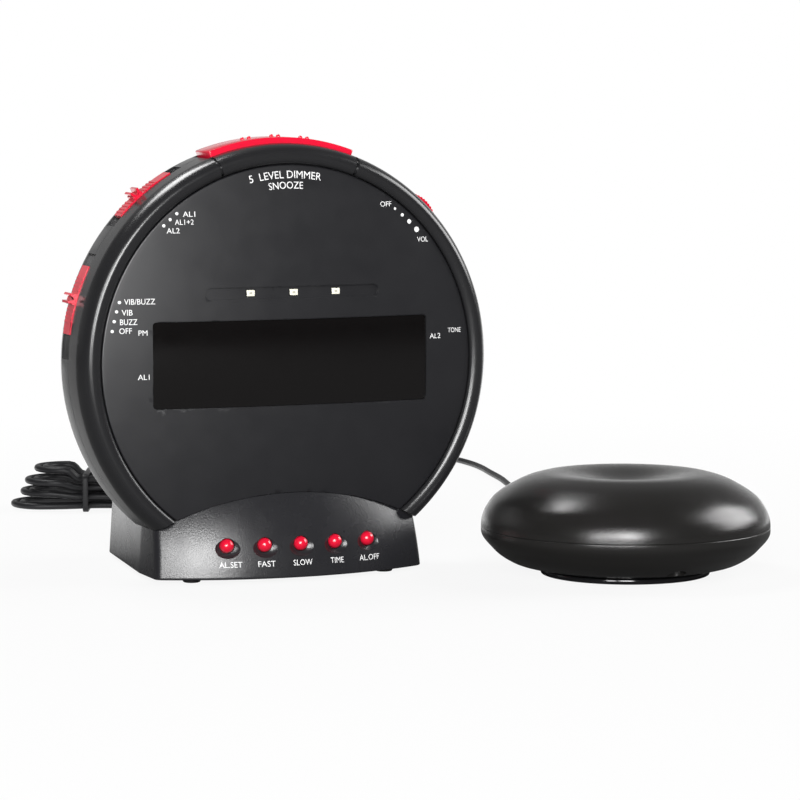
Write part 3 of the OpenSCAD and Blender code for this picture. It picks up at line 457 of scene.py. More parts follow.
HANK_AT = Vector((-41.0, 190.0, 0.0))
HANK_TURN = math.radians(-22)
HANK_RUN = 35.0
HANK_LOOPS = 2
HANK_END = 6.6
HANK_WAIST = 3.0
HANK_STEP = CORD_D + 0.6
LAYER_STEP = CORD_D + 0.9
TIE_X = -6.0
TIE_T = 0.8
HANK_Z = CORD_D / 2 + TIE_T + 0.1
HANK_TURNS = 4 * HANK_LOOPS - 0.25
FAN_BACK = 2.6
FAN_UP = 1.1
FAN_SIDE = 1.6
FAN_START = TIE_X - 1.5
RELIEF_END = 60.0
PLUG_END = Vector((JACK_X, BASE_REAR + 30.7, JACK_Z)) + CLOCK
SHAKER_ROUTE = [
    (62.5, 40, 11), (64, 52, 8.6), (67, 65, 5), (71, 79, 2.2), (77, 94, 1.2), (84, 109, 1.2),
    (92, 124, 1.2), (101, 140, 1.2), (108, 157, 1.2), (114, 174, 1.2), (119, 191, 1.2),
    (124, 209, 1.2), (128, 228, 1.2), (132, 247, 1.2), (133.8, 264, 1.2), (132.8, 281, 1.2),
    (126, 295, 1.2), (113, 302.8, 1.2), (98, 302.8, 1.2), (84, 297, 1.2), (71, 287, 1.2),
    (60, 275, 1.2), (51, 262, 1.2), (43, 248, 1.2), (37, 233, 1.2), (31, 218, 1.2),
    (24, 204, 1.2), (14, 194, 1.2), (2, 189, 1.2)]
PLUG_ROUTE = [
    (8, 153, 1.6), (13, 143, 1.2), (13, 132, 1.2), (8, 124, 1.6), (0, 119, 3.5), (-8, 116, 7),
    (-15, 112.5, 11.5)]


def hank_half(x):
    return HANK_END - (HANK_END - HANK_WAIST) * math.cos(math.pi * x / HANK_RUN) ** 2


def hank_point(turns):
    """A point of the hank's racetrack loops, which spiral in and out over four layers and fan out
    past the tie."""
    layer = math.floor(turns / HANK_LOOPS)
    within = turns - layer * HANK_LOOPS
    depth = (HANK_LOOPS - within if layer % 2 == 0 else within) * HANK_STEP
    climb = layer - 1 + within * 5 if layer > 0 and within < 0.2 else layer
    quarter = (turns - math.floor(turns)) * 4
    half = HANK_RUN / 2
    if quarter < 1:
        x = half - quarter * HANK_RUN
        flat = (x, hank_half(x) + depth)
    elif quarter < 2:
        turn = (quarter - 1) * math.pi
        flat = (-half - (HANK_END + depth) * math.sin(turn), (HANK_END + depth) * math.cos(turn))
    elif quarter < 3:
        x = -half + (quarter - 2) * HANK_RUN
        flat = (x, -hank_half(x) - depth)
    else:
        turn = (quarter - 3) * math.pi
        flat = (half + (HANK_END + depth) * math.sin(turn), -(HANK_END + depth) * math.cos(turn))
    free = min(max((FAN_START - flat[0]) / (FAN_START + half), 0.0), 1.0)
    fan = free * free * (3 - 2 * free)
    x = flat[0] + FAN_BACK * (climb - 1.5) * fan
    y = flat[1] + FAN_SIDE * math.sin(2.1 * climb) * fan
    cos, sin = math.cos(HANK_TURN), math.sin(HANK_TURN)
    return HANK_AT + Vector((x * cos - y * sin, x * sin + y * cos,
                             HANK_Z + climb * (LAYER_STEP + FAN_UP * fan)))


def eased(points, parts=4):
    """A smooth line through points."""
    line = []
    for i in range(len(points) - 1):
        a = points[max(i - 1, 0)]
        b, c = points[i], points[i + 1]
        d = points[min(i + 2, len(points) - 1)]
        for k in range(parts):
            t = k / parts
            line.append(0.5 * (2 * b + (c - a) * t + (2 * a - 5 * b + 4 * c - d) * t * t
                               + (3 * b - a - 3 * c + d) * t ** 3))
    return line + [points[-1]]


def cord_line():
    """The whole cord's centreline, from the shaker's relief through the hank to the plug."""
    samples = 72
    turns = [k / samples for k in range(int(HANK_TURNS * samples) + 1)]
    hank = [hank_point(t) for t in turns]
    along = Vector((math.cos(HANK_TURN), math.sin(HANK_TURN), 0))
    enter, leave = hank[0] + along * CORD_D, hank[-1] + along * CORD_D
    first = [SHAKER + Vector((0, RELIEF_END, EXIT_Z))] + [Vector(p) for p in SHAKER_ROUTE]
    first += [enter + along * 7, enter]
    last = [leave, leave + along * 7, leave + along * 18 - Vector((0, 0, 4.5))]
    last += [leave + along * 28 - Vector((0, 0, 7.5))] + [Vector(p) for p in PLUG_ROUTE]
    last += [PLUG_END + Vector((0, 5, 0)), PLUG_END]
    line = eased(first) + hank + eased(last)
    return [Vector((p.x, p.y, max(p.z, CORD_D / 2 + 0.02))) * MM for p in line]


def make_cord(finish):
    line = cord_line()
    curve = bpy.data.curves.new("shaker_cord", "CURVE")
    curve.dimensions = "3D"
    spline = curve.splines.new("POLY")
    spline.points.add(len(line) - 1)
    for point, place in zip(spline.points, line):
        point.co = (*place, 1)
    curve.bevel_depth = CORD_D / 2 * MM
    curve.bevel_resolution = 4
    curve.use_fill_caps = True
    piece = bpy.data.objects.new("shaker_cord", curve)
    bpy.context.scene.collection.objects.link(piece)
    curve.materials.append(finish.material)
    for part in curve.splines:
        part.use_smooth = True
    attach(piece, "clock")
    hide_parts("cord_to_shaker", "cord_hank", "cord_to_plug")


def make_tie(finish):
    """A flat band round the hank's waist."""
    wide = 2 * (hank_half(TIE_X) + (HANK_LOOPS + 0.2) * HANK_STEP) + CORD_D + 0.6
    high = 3 * LAYER_STEP + CORD_D + 0.2
    level = Vector((0, 0, 0))
    band = rounded_block("cord_tie_band", (-1, -wide / 2 - TIE_T, 0),
                         (1, wide / 2 + TIE_T, high + 2 * TIE_T), 2.3, 0, level)
    hole = rounded_block("tie_hole", (-2, -wide / 2, TIE_T), (2, wide / 2, high + TIE_T), 1.5, 0, level)
    rounded(cut(band, hole), 0.25, 2, 50)
    band.rotation_euler = (0, 0, HANK_TURN)
    band.location = (HANK_AT + Vector((TIE_X * math.cos(HANK_TURN), TIE_X * math.sin(HANK_TURN), 0))) * MM
    pick(band)
    bpy.ops.object.transform_apply(location=True, rotation=True, scale=True)
    placed(smooth(band), "clock", "cord_rubber", finish, "cord_tie")


# Finishes

def moulded(name, colour, gloss, grain, depth, **sockets):
    """Plastic with a fine moulded grain, which breaks its highlights into speckles."""
    finish = Finish(name, colour, gloss, **sockets)
    finish.give("Roughness", finish.noise(7.0) * 0.1 + (gloss - 0.05))
    finish.bump(finish.noise(grain, 3.0, 0.6), depth)
    return finish


def lamp_finish():
    """Cream diffusers with a darker chip in the middle of each."""
    finish = Finish("lamp_cream", (0.9, 0.88, 0.75), 0.3)
    across = finish.axis("X") * (1 / MM) - CLOCK.x
    height = finish.axis("Z") * (1 / MM) - (CLOCK.z + LAMP_Z)
    chip = 0.0
    for lamp in (-1, 0, 1):
        chip = (0.55 - abs(across - lamp * LAMP_PITCH)).between(0.0, 0.12) + chip
    level = (0.4 - abs(height)).between(0.0, 0.12)
    finish.give("Base Color", finish.mix(chip * level * 0.75, (0.8, 0.78, 0.66), (0.3, 0.29, 0.25)))
    return finish


def cone_finish():
    """Pressed paper with fine fibres."""
    finish = Finish("speaker_paper", (0.03, 0.03, 0.03), 0.85)
    fibres = finish.noise(1.2, 4.0, 0.7)
    finish.give("Base Color", finish.mix(fibres, (0.02, 0.02, 0.02), (0.05, 0.05, 0.048)))
    finish.bump(fibres, 0.05)
    return finish


def board_finish():
    """Green varnish with paler tracks."""
    finish = Finish("circuit_board", (0.03, 0.14, 0.06), 0.3)
    tracks = finish.cells(5.0).above(0.35)
    finish.give("Base Color", finish.mix(tracks, (0.02, 0.1, 0.045), (0.045, 0.2, 0.08)))
    return finish


case_black = moulded("case_black", (0.014, 0.014, 0.015), 0.25, 0.9, 0.004)
panel_charcoal = moulded("panel_charcoal", (0.01, 0.01, 0.0115), 0.38, 0.4, 0.006)
base_black = moulded("base_black", (0.015, 0.015, 0.017), 0.27, 0.5, 0.042)
shaker_black = moulded("shaker_black", (0.012, 0.0115, 0.011), 0.24, 0.55, 0.055)
ring_black = moulded("ring_black", (0.01, 0.01, 0.011), 0.12, 2.0, 0.002)
lens_black = moulded("lens_black", (0.004, 0.0035, 0.0035), 0.09, 3.0, 0.0005)
red_plastic = moulded("red_plastic", (0.62, 0.006, 0.03), 0.24, 1.5, 0.003, Coat_Weight=0.3)
dark_plastic = moulded("dark_plastic", (0.03, 0.03, 0.03), 0.5, 0.5, 0.01)
bare_steel = moulded("bare_steel", (0.6, 0.6, 0.6), 0.3, 0.8, 0.003, Metallic=1.0)
battery_case = moulded("battery_case", (0.2, 0.2, 0.21), 0.35, 1.0, 0.002, Metallic=0.8)
foot_rubber = moulded("foot_rubber", (0.015, 0.015, 0.015), 0.7, 0.3, 0.01)
weight_brass = moulded("weight_brass", (0.7, 0.5, 0.25), 0.3, 0.6, 0.003, Metallic=1.0)
segment_red = moulded("segment_red", (0.15, 0.02, 0.02), 0.4, 0.5, 0.002)
cord_black = moulded("cord_black", (0.01, 0.01, 0.011), 0.45, 0.5, 0.01, Specular_IOR_Level=0.2)
legend_white = moulded("legend_white", (0.72, 0.72, 0.72), 0.5, 0.3, 0.001)
lamp_cream = lamp_finish()
speaker_paper = cone_finish()
circuit_board = board_finish()
make_tie(cord_black)
placed(from_cad("shaker_plug", "plug_body", 0.25), "clock", "dark_plastic", dark_plastic, "plug_body")
make_cord(cord_black)

# Face panel, lens and lamps

def dome_outline(reach, front, back, steps=44):
    """The face's bulge as a closed outline; front and back say how far behind the bulge it runs."""
    radii = [reach * k / steps for k in range(steps + 1)]
    return [(r, dome_y(r) + front) for r in radii] + [(r, dome_y(r) + back) for r in reversed(radii)]


def dome_recess(name, width, height, corner, z, depth):
    """A cutter that sinks a rounded patch of the face to an even depth."""
    patch = rounded_block(name, (-width / 2, -12, z - height / 2), (width / 2, 2, z + height / 2), corner, 1)
    return cut(patch, turned(name + "_slab", dome_outline(PANEL_R + 2, -4, depth)), operation="INTERSECT")


def window_plate(name, width, height, corner):
    return rounded_block(name, (-width / 2, -20, -height / 2), (width / 2, 10, height / 2), corner, 1)


def make_face():
    round_r = 0.5
    flat_r = PANEL_R - round_r
    outline = dome_outline(flat_r, 0, PANEL_T)
    rim = dome_y(flat_r)
    edge = [(flat_r + round_r * math.sin(a), rim + round_r - round_r * math.cos(a))
            for a in [math.radians(step) for step in (25, 50, 72, 90)]] + [(PANEL_R, rim + PANEL_T)]
    middle = len(outline) // 2
    panel = turned("face_panel_shell", outline[:middle] + edge + outline[middle:])
    cut(panel, rod_y("face_arch", -20, 12, ARCH_R + ARCH_GAP, 0, ARCH_Z - ARCH_R, 256))
    cut(panel, dome_recess("window_lip", WINDOW_W + 0.5, WINDOW_H + 0.5, 1.5, 0, 0.22))
    cut(panel, window_plate("window", WINDOW_W, WINDOW_H, 1.3))
    cut(panel, dome_recess("slot_lip", SLOT_W + 0.5, SLOT_H + 0.5, SLOT_H / 2 + 0.2, LAMP_Z, 0.2))
    cut(panel, dome_recess("slot", SLOT_W, SLOT_H, SLOT_H / 2 - 0.02, LAMP_Z, 0.6))
    for lamp in (-1, 0, 1):
        x = lamp * LAMP_PITCH
        cut(panel, block("lamp_hole", (x - LAMP_HALF_W, -20, LAMP_Z - LAMP_HALF_H),
                         (x + LAMP_HALF_W, 4, LAMP_Z + LAMP_HALF_H)))
    rounded(panel, 0.35, 3, 50)
    placed(smooth(panel), "clock", "panel_charcoal", panel_charcoal, "face_panel")
    lens = turned("display_lens_dome", dome_outline(49, 0.6, PANEL_T))
    cut(lens, window_plate("lens_plate", WINDOW_W - 0.2, WINDOW_H - 0.2, 1.2), operation="INTERSECT")
    placed(smooth(lens), "clock", "lens_black", lens_black, "display_lens")
    placed(from_cad("alert_lamp_domes", "alert_lamps", 0.15), "clock", "lamp_cream", lamp_cream,
           "alert_lamps")


make_face()

# Bezel and front case

def bezel_outline(inset):
    """The rounded bezel from the panel's seam out to the rim band."""
    inner = [(PEAK_R - (PEAK_R - SEAM_R - inset) * math.cos(a), 0.2 + (PEAK_Y - 0.2 + inset) * math.sin(a))
             for a in [math.radians(6 * k) for k in range(15)]]
    outer = [(PEAK_R + (DISC_R - PEAK_R - inset) * math.sin(a),
              BAND_Y - (BAND_Y - PEAK_Y - inset) * math.cos(a))
             for a in [math.radians(3.75 * k) for k in range(25)]]
    return inner + outer


def rim_cut(name, middle, half, back, forth):
    """The channel that a rim slider runs in, from the slider's middle, half length and swing in degrees."""
    return arc_bar(name, middle - half - back - 0.6, middle + half + forth + 0.6, CHANNEL_R, DISC_R + 8,
                   *CHANNEL_Y)


def bezel_notch(angle):
    """A narrow groove across the bezel, of even depth."""
    notch = block("notch", (SEAM_R - 1, -8, -0.45), (DISC_R + 4, 5.5, 0.45), Vector((0, 0, 0)))
    notch.rotation_euler = (0, -math.radians(angle), 0)
    notch.location = CLOCK * MM
    pick(notch)
    bpy.ops.object.transform_apply(location=True, rotation=True, scale=True)
    outline = [(SEAM_R + 0.8, 5.6)] + bezel_outline(0.8) + [(DISC_R - 0.8, 5.6), (SEAM_R + 0.8, 5.6)]
    return cut(notch, turned("notch_floor", outline, start=angle - 3, sweep=6, steps=8))


def make_front_case():
    inside = DISC_R - WALL
    flange = SEAM_R - 3
    outline = [(SEAM_R, SEAT_Y)] + bezel_outline(0)
    outline += [(DISC_R, PART_Y - 0.2), (DISC_R - 0.2, PART_Y), (inside, PART_Y), (inside, 6),
                (PEAK_R - 0.2, FLANGE_Y), (flange, FLANGE_Y), (flange, SEAT_Y), (SEAM_R, SEAT_Y)]
    case = turned("front_case_shell", outline, steps=192)
    for angle in BOSS_ANGLES:
        x, z = flange * math.cos(math.radians(angle)), flange * math.sin(math.radians(angle))
        boss = cut(rod_y("boss", 3.4, PART_Y, BOSS_R, x, z), rod_y("boss_hole", 5, 20, 1.2, x, z))
        cut(case, boss, operation="UNION")
    cut(case, rod_y("case_arch", -20, 40, ARCH_R + ARCH_GAP, 0, ARCH_Z - ARCH_R, 256))
    shelf_home = CLOCK + Vector((0, 0, ARCH_Z - ARCH_R))
    low, high = ARCH_R + ARCH_GAP, ARCH_R + WALL
    shelf = [(low, SEAT_Y), (high, SEAT_Y), (high, PART_Y), (low, PART_Y), (low, SEAT_Y)]
    shelf = turned("arch_shelf", shelf, shelf_home, start=56, sweep=68, steps=60)
    cut(shelf, rod_y("shelf_end", -5, 20, DISC_R - 1, sides=192), operation="INTERSECT")
    cut(case, shelf, operation="UNION")
    cut(case, arc_bar("snooze_pocket", 90 - SNOOZE_HALF - 0.8, 90 + SNOOZE_HALF + 0.8, DISC_R - 9,
                      DISC_R + 8, 5.8, 30))
    cut(case, rim_cut("alarm_channel", *ALARM_CHANNEL), rim_cut("mode_channel", *MODE_CHANNEL))
    cut(case, bezel_notch(90 - NOTCH_A), bezel_notch(90 + NOTCH_A))
    placed(smooth(case, 28), "clock", "case_black", case_black, "front_case")


make_front_case()
placed(from_cad("rear_case_shell", "rear_case"), "clock", "case_black", case_black, "rear_case")

# Base

def softened(before, corner, after, steps=6):
    """Points of a rounded corner between two points of its sides."""
    points = []
    for k in range(steps + 1):
        t = k / steps
        points.append(tuple(b * (1 - t) ** 2 + 2 * c * t * (1 - t) + a * t ** 2
                            for b, c, a in zip(before, corner, after)))
    return points


def base_ring(h, inset):
    """The base's outline at a height over its foot."""
    half = BASE_HW - inset - h * math.tan(math.radians(SIDE_LEAN))
    radius = FRONT_R - inset - lean(h)
    rear = BASE_REAR - inset
    taper = math.tan(math.radians(TAPER))

    def bow(x):
        return FRONT_MID - math.sqrt(radius ** 2 - x * x)

    kink = KINK_Y - 1.2 / taper
    rear_x = half - 1.2 - taper * (rear - KINK_Y)
    reach = half - 1.9
    side = [(reach * k / 26, bow(reach * k / 26)) for k in range(26)]
    side += softened((reach, bow(reach)), (half, bow(half)), (half, bow(half) + 2.2))
    side += softened((half, kink - 1), (half, kink), (half - taper, kink + 1), 3)
    side += softened((rear_x + taper * 2, rear - 2), (rear_x, rear), (rear_x - 2, rear))
    return [(x, y, BASE_Z + h) for x, y in side + [(-x, y) for x, y in reversed(side[1:])]]


def base_solid(name, inset, levels):
    """The base's outer or inner form: raised outlines, cut by the arch and by the lower rear top."""
    solid = stacked(name, [base_ring(h, inset + extra) for h, extra in levels])
    above = block(name + "_above", (-60, -30, -80), (60, DISC_DEPTH + ARCH_GAP + inset, 1))
    behind = block(name + "_behind", (-60, 20, REAR_Z - inset), (60, 100, 2))
    cut(above, behind, operation="UNION")
    cut(above, rod_y(name + "_arch", -40, DISC_DEPTH + 1, ARCH_R - inset, 0, ARCH_Z - ARCH_R, 256))
    return cut(solid, above)


def button_x(spot):
    """Where a button stands, counted from the middle one."""
    return BUTTON_MID + spot * BUTTON_PITCH


def make_base():
    heights = [(0.9 + 2.2 * k, 0) for k in range(12)] + [(27.6, 0)]
    shell = base_solid("base_shell_body", 0, [(0, 0.35), (0.12, 0.12), (0.4, 0)] + heights)
    tail = block("rear_edge", (-60, BASE_REAR - 2, REAR_Z - 2), (60, BASE_REAR + 2, REAR_Z + 2))
    cut(tail, rod("rear_round", (-61, BASE_REAR - 2, REAR_Z - 2), (61, BASE_REAR - 2, REAR_Z - 2), 2, 48))
    cut(shell, tail)
    rounded(shell, 0.35, 2, 40)
    cut(shell, base_solid("base_hollow", WALL, [(-1, 0), (1, 0)] + [(3 + 3 * k, 0) for k in range(8)]))
    for x, y, top in BASE_POSTS:
        post = rod("screw_post", (x, y, BASE_Z + 2.4), (x, y, top), POST_R, 32)
        cut(post, rod("screw_hole", (x, y, BASE_Z), (x, y, BASE_Z + 12), 1.2, 24))
        cut(shell, post, operation="UNION")
    for spot in range(-2, 3):
        x = button_x(spot)
        face = bow_y(x, BUTTON_Z - BASE_Z)
        turn = math.asin(x / FRONT_R)
        cut(shell, ball("dish", (x + 2.1 * math.sin(turn), face - 2.1 * math.cos(turn), BUTTON_Z),
                        (5.3, 3.1, 4.15), turn=turn),
            rod_y("button_hole", -30, 3, BUTTON_R + 0.2, x, BUTTON_Z))
    cut(shell, rod_y("power_hole", BASE_REAR - 5, BASE_REAR + 5, 3.7, POWER_X, JACK_Z),
        rod_y("shaker_hole", BASE_REAR - 5, BASE_REAR + 5, 3.1, JACK_X, JACK_Z),
        block("battery_bay", (-25, BASE_REAR - 5, BASE_Z + 1.5), (5.4, BASE_REAR + 5, REAR_Z - 2.3)))
    placed(smooth(shell, 30), "clock", "base_black", base_black, "base_shell")


def make_buttons():
    names = (("button_alarm_set", "set_button"), ("button_fast", "fast_button"),
             ("button_slow", "slow_button"), ("button_time", "time_button"),
             ("button_alarm_off", "off_button"))
    stem = bow_y(button_x(2), BUTTON_Z - BASE_Z) + 4.8
    for spot, (node, body) in enumerate(names):
        x = button_x(spot - 2)
        face = bow_y(x, BUTTON_Z - BASE_Z)
        dome = [(BUTTON_R * math.sin(math.radians(a)), BUTTON_R * (1 - math.cos(math.radians(a))) - 1.5)
                for a in range(0, 91, 6)]
        outline = dome + [(BUTTON_R, 3.5), (3.5, 3.5), (3.5, 4.5), (1.4, 4.5), (1.4, stem - face),
                          (0, stem - face)]
        button = turned(node + "_cap", outline, CLOCK + Vector((x, face, BUTTON_Z)), steps=48)
        placed(smooth(button), body, "red_plastic", red_plastic, node)


make_base()
make_buttons()

# Rim controls

def make_snooze_bar():
    """The bar on top, its pips and, below it, the two stems and the post that works the switch."""
    middle = sum(SNOOZE_Y) / 2
    seat = math.sqrt((DISC_R - 6) ** 2 - 14 ** 2) + 0.3
    bar = rounded(arc_bar("snooze_bar_cap", 90 - SNOOZE_HALF, 90 + SNOOZE_HALF, DISC_R - 1.9, SNOOZE_TOP,
                          *SNOOZE_Y, steps=48), 0.5, 3)
    pip_at = SNOOZE_TOP + 0.1
    for angle in (81.07, 82.93, 89.07, 90.93, 97.07, 98.93):
        across, up = math.cos(math.radians(angle)), math.sin(math.radians(angle))
        pip = ball("pip", (pip_at * across, SNOOZE_Y[0] + 6.1, pip_at * up), (0.7, 0.7, 0.7), 24)
        cut(bar, pip, operation="UNION")
    for x in (-14, 14):
        cut(bar, rod("spring_seat", (x, middle, seat), (x, middle, seat + 4), 3.1, 48))
        cut(bar, rod("stem", (x, middle, seat - 5.5), (x, middle, seat + 5), 1.6, 32),
            rod("stem_end", (x, middle, seat - 6.4), (x, middle, seat - 4.9), 2.2, 32), operation="UNION")
    cut(bar, block("switch_post", (-1.5, middle - 1.5, DISC_R - 4.6), (1.5, middle + 1.5, DISC_R - 1)),
        operation="UNION")
    placed(smooth(bar), "snooze", "red_plastic", red_plastic, "snooze_bar")


make_snooze_bar()
for piece_name, node, edge, body in (("alarm_slide_cap", "alarm_slider", 0.12, "alarm_slide"),
                                     ("mode_slide_cap", "mode_slider", 0.12, "mode_slide"),
                                     ("volume_thumbwheel", "volume_wheel", 0.1, "volume_knob"),
                                     ("tone_thumbwheel", "tone_wheel", 0.1, "tone_knob")):
    placed(from_cad(piece_name, node, edge), body, "red_plastic", red_plastic, node)

# Shaker

TOP_SIDE = [(0, 0), (-0.2, 0.14), (-0.9, 0.27), (-1.9, 0.38), (-3.8, 0.53), (-6.7, 0.665), (-10.4, 0.795),
            (-13.4, 0.88), (-16.4, 0.94), (-19.7, 0.985), (-22.7, 1)]
LOW_SIDE = [(0, 1), (-0.1, 0.85), (-1, 0.72), (-2.9, 0.56), (-5, 0.4), (-7.6, 0.265), (-10.9, 0.15),
            (-16.3, 0.06)]


def shaker_top_line(inset):
    """The top shell's outline from its seam over the rim into the dish."""
    points = eased([Vector((SHAKER_R - inset + p[0],
                            SHAKER_SEAM + (SHAKER_H - inset - SHAKER_SEAM) * p[1])) for p in TOP_SIDE])
    rim = SHAKER_R - TOP_RIM - inset
    for k in range(1, 17):
        points.append(Vector((rim * (1 - k / 16),
                              SHAKER_H - inset - DISH_DEPTH * (1 - math.cos(math.pi * k / 16)) / 2)))
    return [(min(p.x, SHAKER_R - inset), p.y) for p in points]


def shaker_low_line(inset):
    """The bottom shell's outline from its seam down to its flat underside."""
    points = eased([Vector((SHAKER_R - inset + p[0],
                            SHAKER_LOW + inset + (SHAKER_SEAM - SHAKER_LOW - inset) * p[1]))
                    for p in LOW_SIDE])
    return [(min(p.x, SHAKER_R - inset), p.y) for p in points] + [(0, SHAKER_LOW + inset)]


def screw_spots():
    return [(36 * math.cos(math.radians(a)), 36 * math.sin(math.radians(a))) for a in (30, 150, 270)]


def make_shaker():
    top = shaker_top_line(0)
    top = [(SHAKER_R - 0.2, SHAKER_SEAM), (SHAKER_R - 0.02, SHAKER_SEAM + 0.2)] + top[2:]
    inside = list(reversed(shaker_top_line(WALL)))
    shell = turned("shaker_top_shell", top + inside + [top[0]], SHAKER, upright=True, steps=128)
    placed(smooth(shell), "clock", "shaker_black", shaker_black, "shaker_top")
    low = shaker_low_line(0)
    low = [(SHAKER_R - 0.2, SHAKER_SEAM), (SHAKER_R - 0.02, SHAKER_SEAM - 0.2)] + low[1:]
    inside = list(reversed(shaker_low_line(WALL)))
    shell = turned("shaker_bottom_shell", low + inside + [low[0]], SHAKER, upright=True, steps=128)
    core = shaker_low_line(1) + [(0, SHAKER_SEAM)]
    for x, y in screw_spots():
        post = rod("shaker_post", (x, y, 1), (x, y, SHAKER_SEAM), POST_R, 32, SHAKER)
        core_solid = turned("shaker_core", core + [core[0]], SHAKER, upright=True, steps=64)
        cut(post, core_solid, operation="INTERSECT")
        cut(shell, post, operation="UNION")
    for x, y in screw_spots():
        cut(shell, rod("screw_well", (x, y, 0), (x, y, 9), 2.9, 32, SHAKER),
            rod("screw_bore", (x, y, 0), (x, y, 20), 1.5, 24, SHAKER))
    cut(shell, rod("relief_hole", (0, 30, EXIT_Z), (0, 60, EXIT_Z), 3.4, 32, SHAKER))
    placed(smooth(shell), "clock", "shaker_black", shaker_black, "shaker_bottom")


make_shaker()

# Small parts taken over from the CAD with rounded edges

for piece_name, node, edge, body, slot, finish in (
        ("foot_ring", "shaker_foot_ring", 0.3, "clock", "ring_black", ring_black),
        ("rubber_feet", "feet", 0.3, "clock", "foot_rubber", foot_rubber),
        ("relief_sleeve", "shaker_relief", 0.2, "clock", "cord_rubber", cord_black),
        ("battery_cover", "battery_door", 0.25, "door", "base_black", base_black),
        ("hour_slide_knob", "hour_knob", 0.15, "hour_slide", "dark_plastic", dark_plastic)):
    placed(from_cad(piece_name, node, edge), body, slot, finish, node)

INNER_FINISHES = (
    (base_black, ("base_plate",)),
    (segment_red, ("digit_segments",)),
    (circuit_board, ("lamp_board", "main_board", "snooze_board", "button_board")),
    (dark_plastic, ("display_module", "board_parts", "snooze_switch", "tact_switches", "hour_switch",
                    "power_jack", "shaker_jack", "speaker_magnet")),
    (bare_steel, ("snooze_springs", "alarm_switch", "mode_switch", "volume_pot", "tone_pot", "case_screws",
                  "speaker_frame", "speaker_screws", "base_screws", "disc_screws", "plug_pin",
                  "shaker_motor", "motor_clamp", "shaker_screws")),
    (speaker_paper, ("speaker_cone",)),
    (battery_case, ("backup_battery", "battery_snap")),
    (weight_brass, ("eccentric_weight",)))
for finish, names in INNER_FINISHES:
    for name in names:
        for place in nodes[name].material_slots:
            place.material = finish.material

# Legends

PRINT_T = 0.04


def legend(words, x, z, width, height, bent=0.0):
    """Flat letters of a given width and capital height, drawn level or bent round the disc's middle."""
    pick(None)
    bpy.ops.object.text_add(location=(0, 0, 0))
    piece = bpy.context.object
    piece.name = "legend"
    piece.data.body = words
    piece.data.extrude = 0.01
    piece.data.resolution_u = 3
    bpy.ops.object.convert(target="MESH")
    mesh = piece.data
    low = [min(v.co[i] for v in mesh.vertices) for i in range(3)]
    high = [max(v.co[i] for v in mesh.vertices) for i in range(3)]
    for vert in mesh.vertices:
        u = ((vert.co.x - low[0]) / (high[0] - low[0]) - 0.5) * width
        v = ((vert.co.y - low[1]) / (high[1] - low[1]) - 0.5) * height
        depth = (vert.co.z - high[2]) / (low[2] - high[2])
        if bent:
            angle = math.pi / 2 - (x + u) / bent
            place = (bent + v) * math.cos(angle), (bent + v) * math.sin(angle)
        else:
            place = x + u, z + v
        vert.co = (place[0], depth, place[1])
    return piece


def dot(angle, size, reach=DOTS_R):
    """A printed dot near the face's edge."""
    x, z = reach * math.cos(math.radians(angle)), reach * math.sin(math.radians(angle))
    return added("dot", bpy.ops.mesh.primitive_cylinder_add, vertices=24, radius=size / 2, depth=1,
                 location=(x, 0.5, z), rotation=(math.pi / 2, 0, 0))


def printed(name, pieces, surface):
    """Joins legends and lays them on a surface; they stand proud of it by the print's thickness."""
    piece = joined(name, pieces)
    for vert in piece.data.vertices:
        x, depth, z = vert.co
        y = surface(x, z) - PRINT_T + depth * 2 * PRINT_T
        vert.co = (Vector((x, y, z)) + CLOCK) * MM
    pick(piece)
    bpy.ops.object.mode_set(mode="EDIT")
    bpy.ops.mesh.select_all(action="SELECT")
    bpy.ops.mesh.remove_doubles(threshold=0.001 * MM)
    bpy.ops.mesh.normals_make_consistent(inside=False)
    bpy.ops.object.mode_set(mode="OBJECT")
    placed(piece, "clock", None, legend_white)


def make_legends():
    face = [legend("5  LEVEL DIMMER", -1.3, 0, 24.0, 2.3, bent=58.2),
            legend("SNOOZE", -1.3, 0, 11.4, 2.2, bent=54.9),
            legend("AL1", -33.0, 46.4, 3.9, 1.6), legend("AL1+2", -34.6, 44.0, 5.9, 1.6),
            legend("AL2", -38.2, 41.4, 4.1, 1.6), legend("VIB/BUZZ", -49.3, 19.9, 9.5, 1.75),
            legend("VIB", -53.2, 16.6, 3.3, 1.75), legend("BUZZ", -52.8, 13.7, 5.3, 1.75),
            legend("OFF", -53.8, 11.0, 3.85, 1.75), legend("PM", -48.5, 10.3, 2.75, 1.6),
            legend("AL1", -48.4, -3.3, 3.6, 1.6), legend("AL2", 48.6, 6.6, 3.9, 1.6),
            legend("TONE", 55.7, 8.2, 4.8, 1.5), legend("OFF", 32.4, 48.5, 3.9, 1.6),
            legend("VOL", 44.9, 37.2, 3.9, 1.6)]
    face += [dot(angle, 1.0, DOTS_R + 0.5) for angle in (128.3, 131.0, 133.7)]
    face += [dot(angle, 1.0) for angle in (160.4, 163.3, 166.3, 169.3)]
    face += [dot(52.9, 0.85), dot(49.8, 1.15), dot(46.7, 1.4), dot(43.2, 1.75)]
    printed("face_legends", face, lambda x, z: dome_y(math.hypot(x, z)))
    base = []
    for spot, (words, shift, width) in enumerate((("AL.SET", 0.5, 7.0), ("FAST", 0, 5.5), ("SLOW", 0, 6.3),
                                                  ("TIME", 0, 4.6), ("AL.OFF", 0, 7.3))):
        x = button_x(spot - 2) + shift
        base.append(legend(words, x, BUTTON_Z - 5.7, width, 1.75))
    printed("base_legends", base, lambda x, z: bow_y(x, z - BASE_Z))


make_legends()

# Floor and light

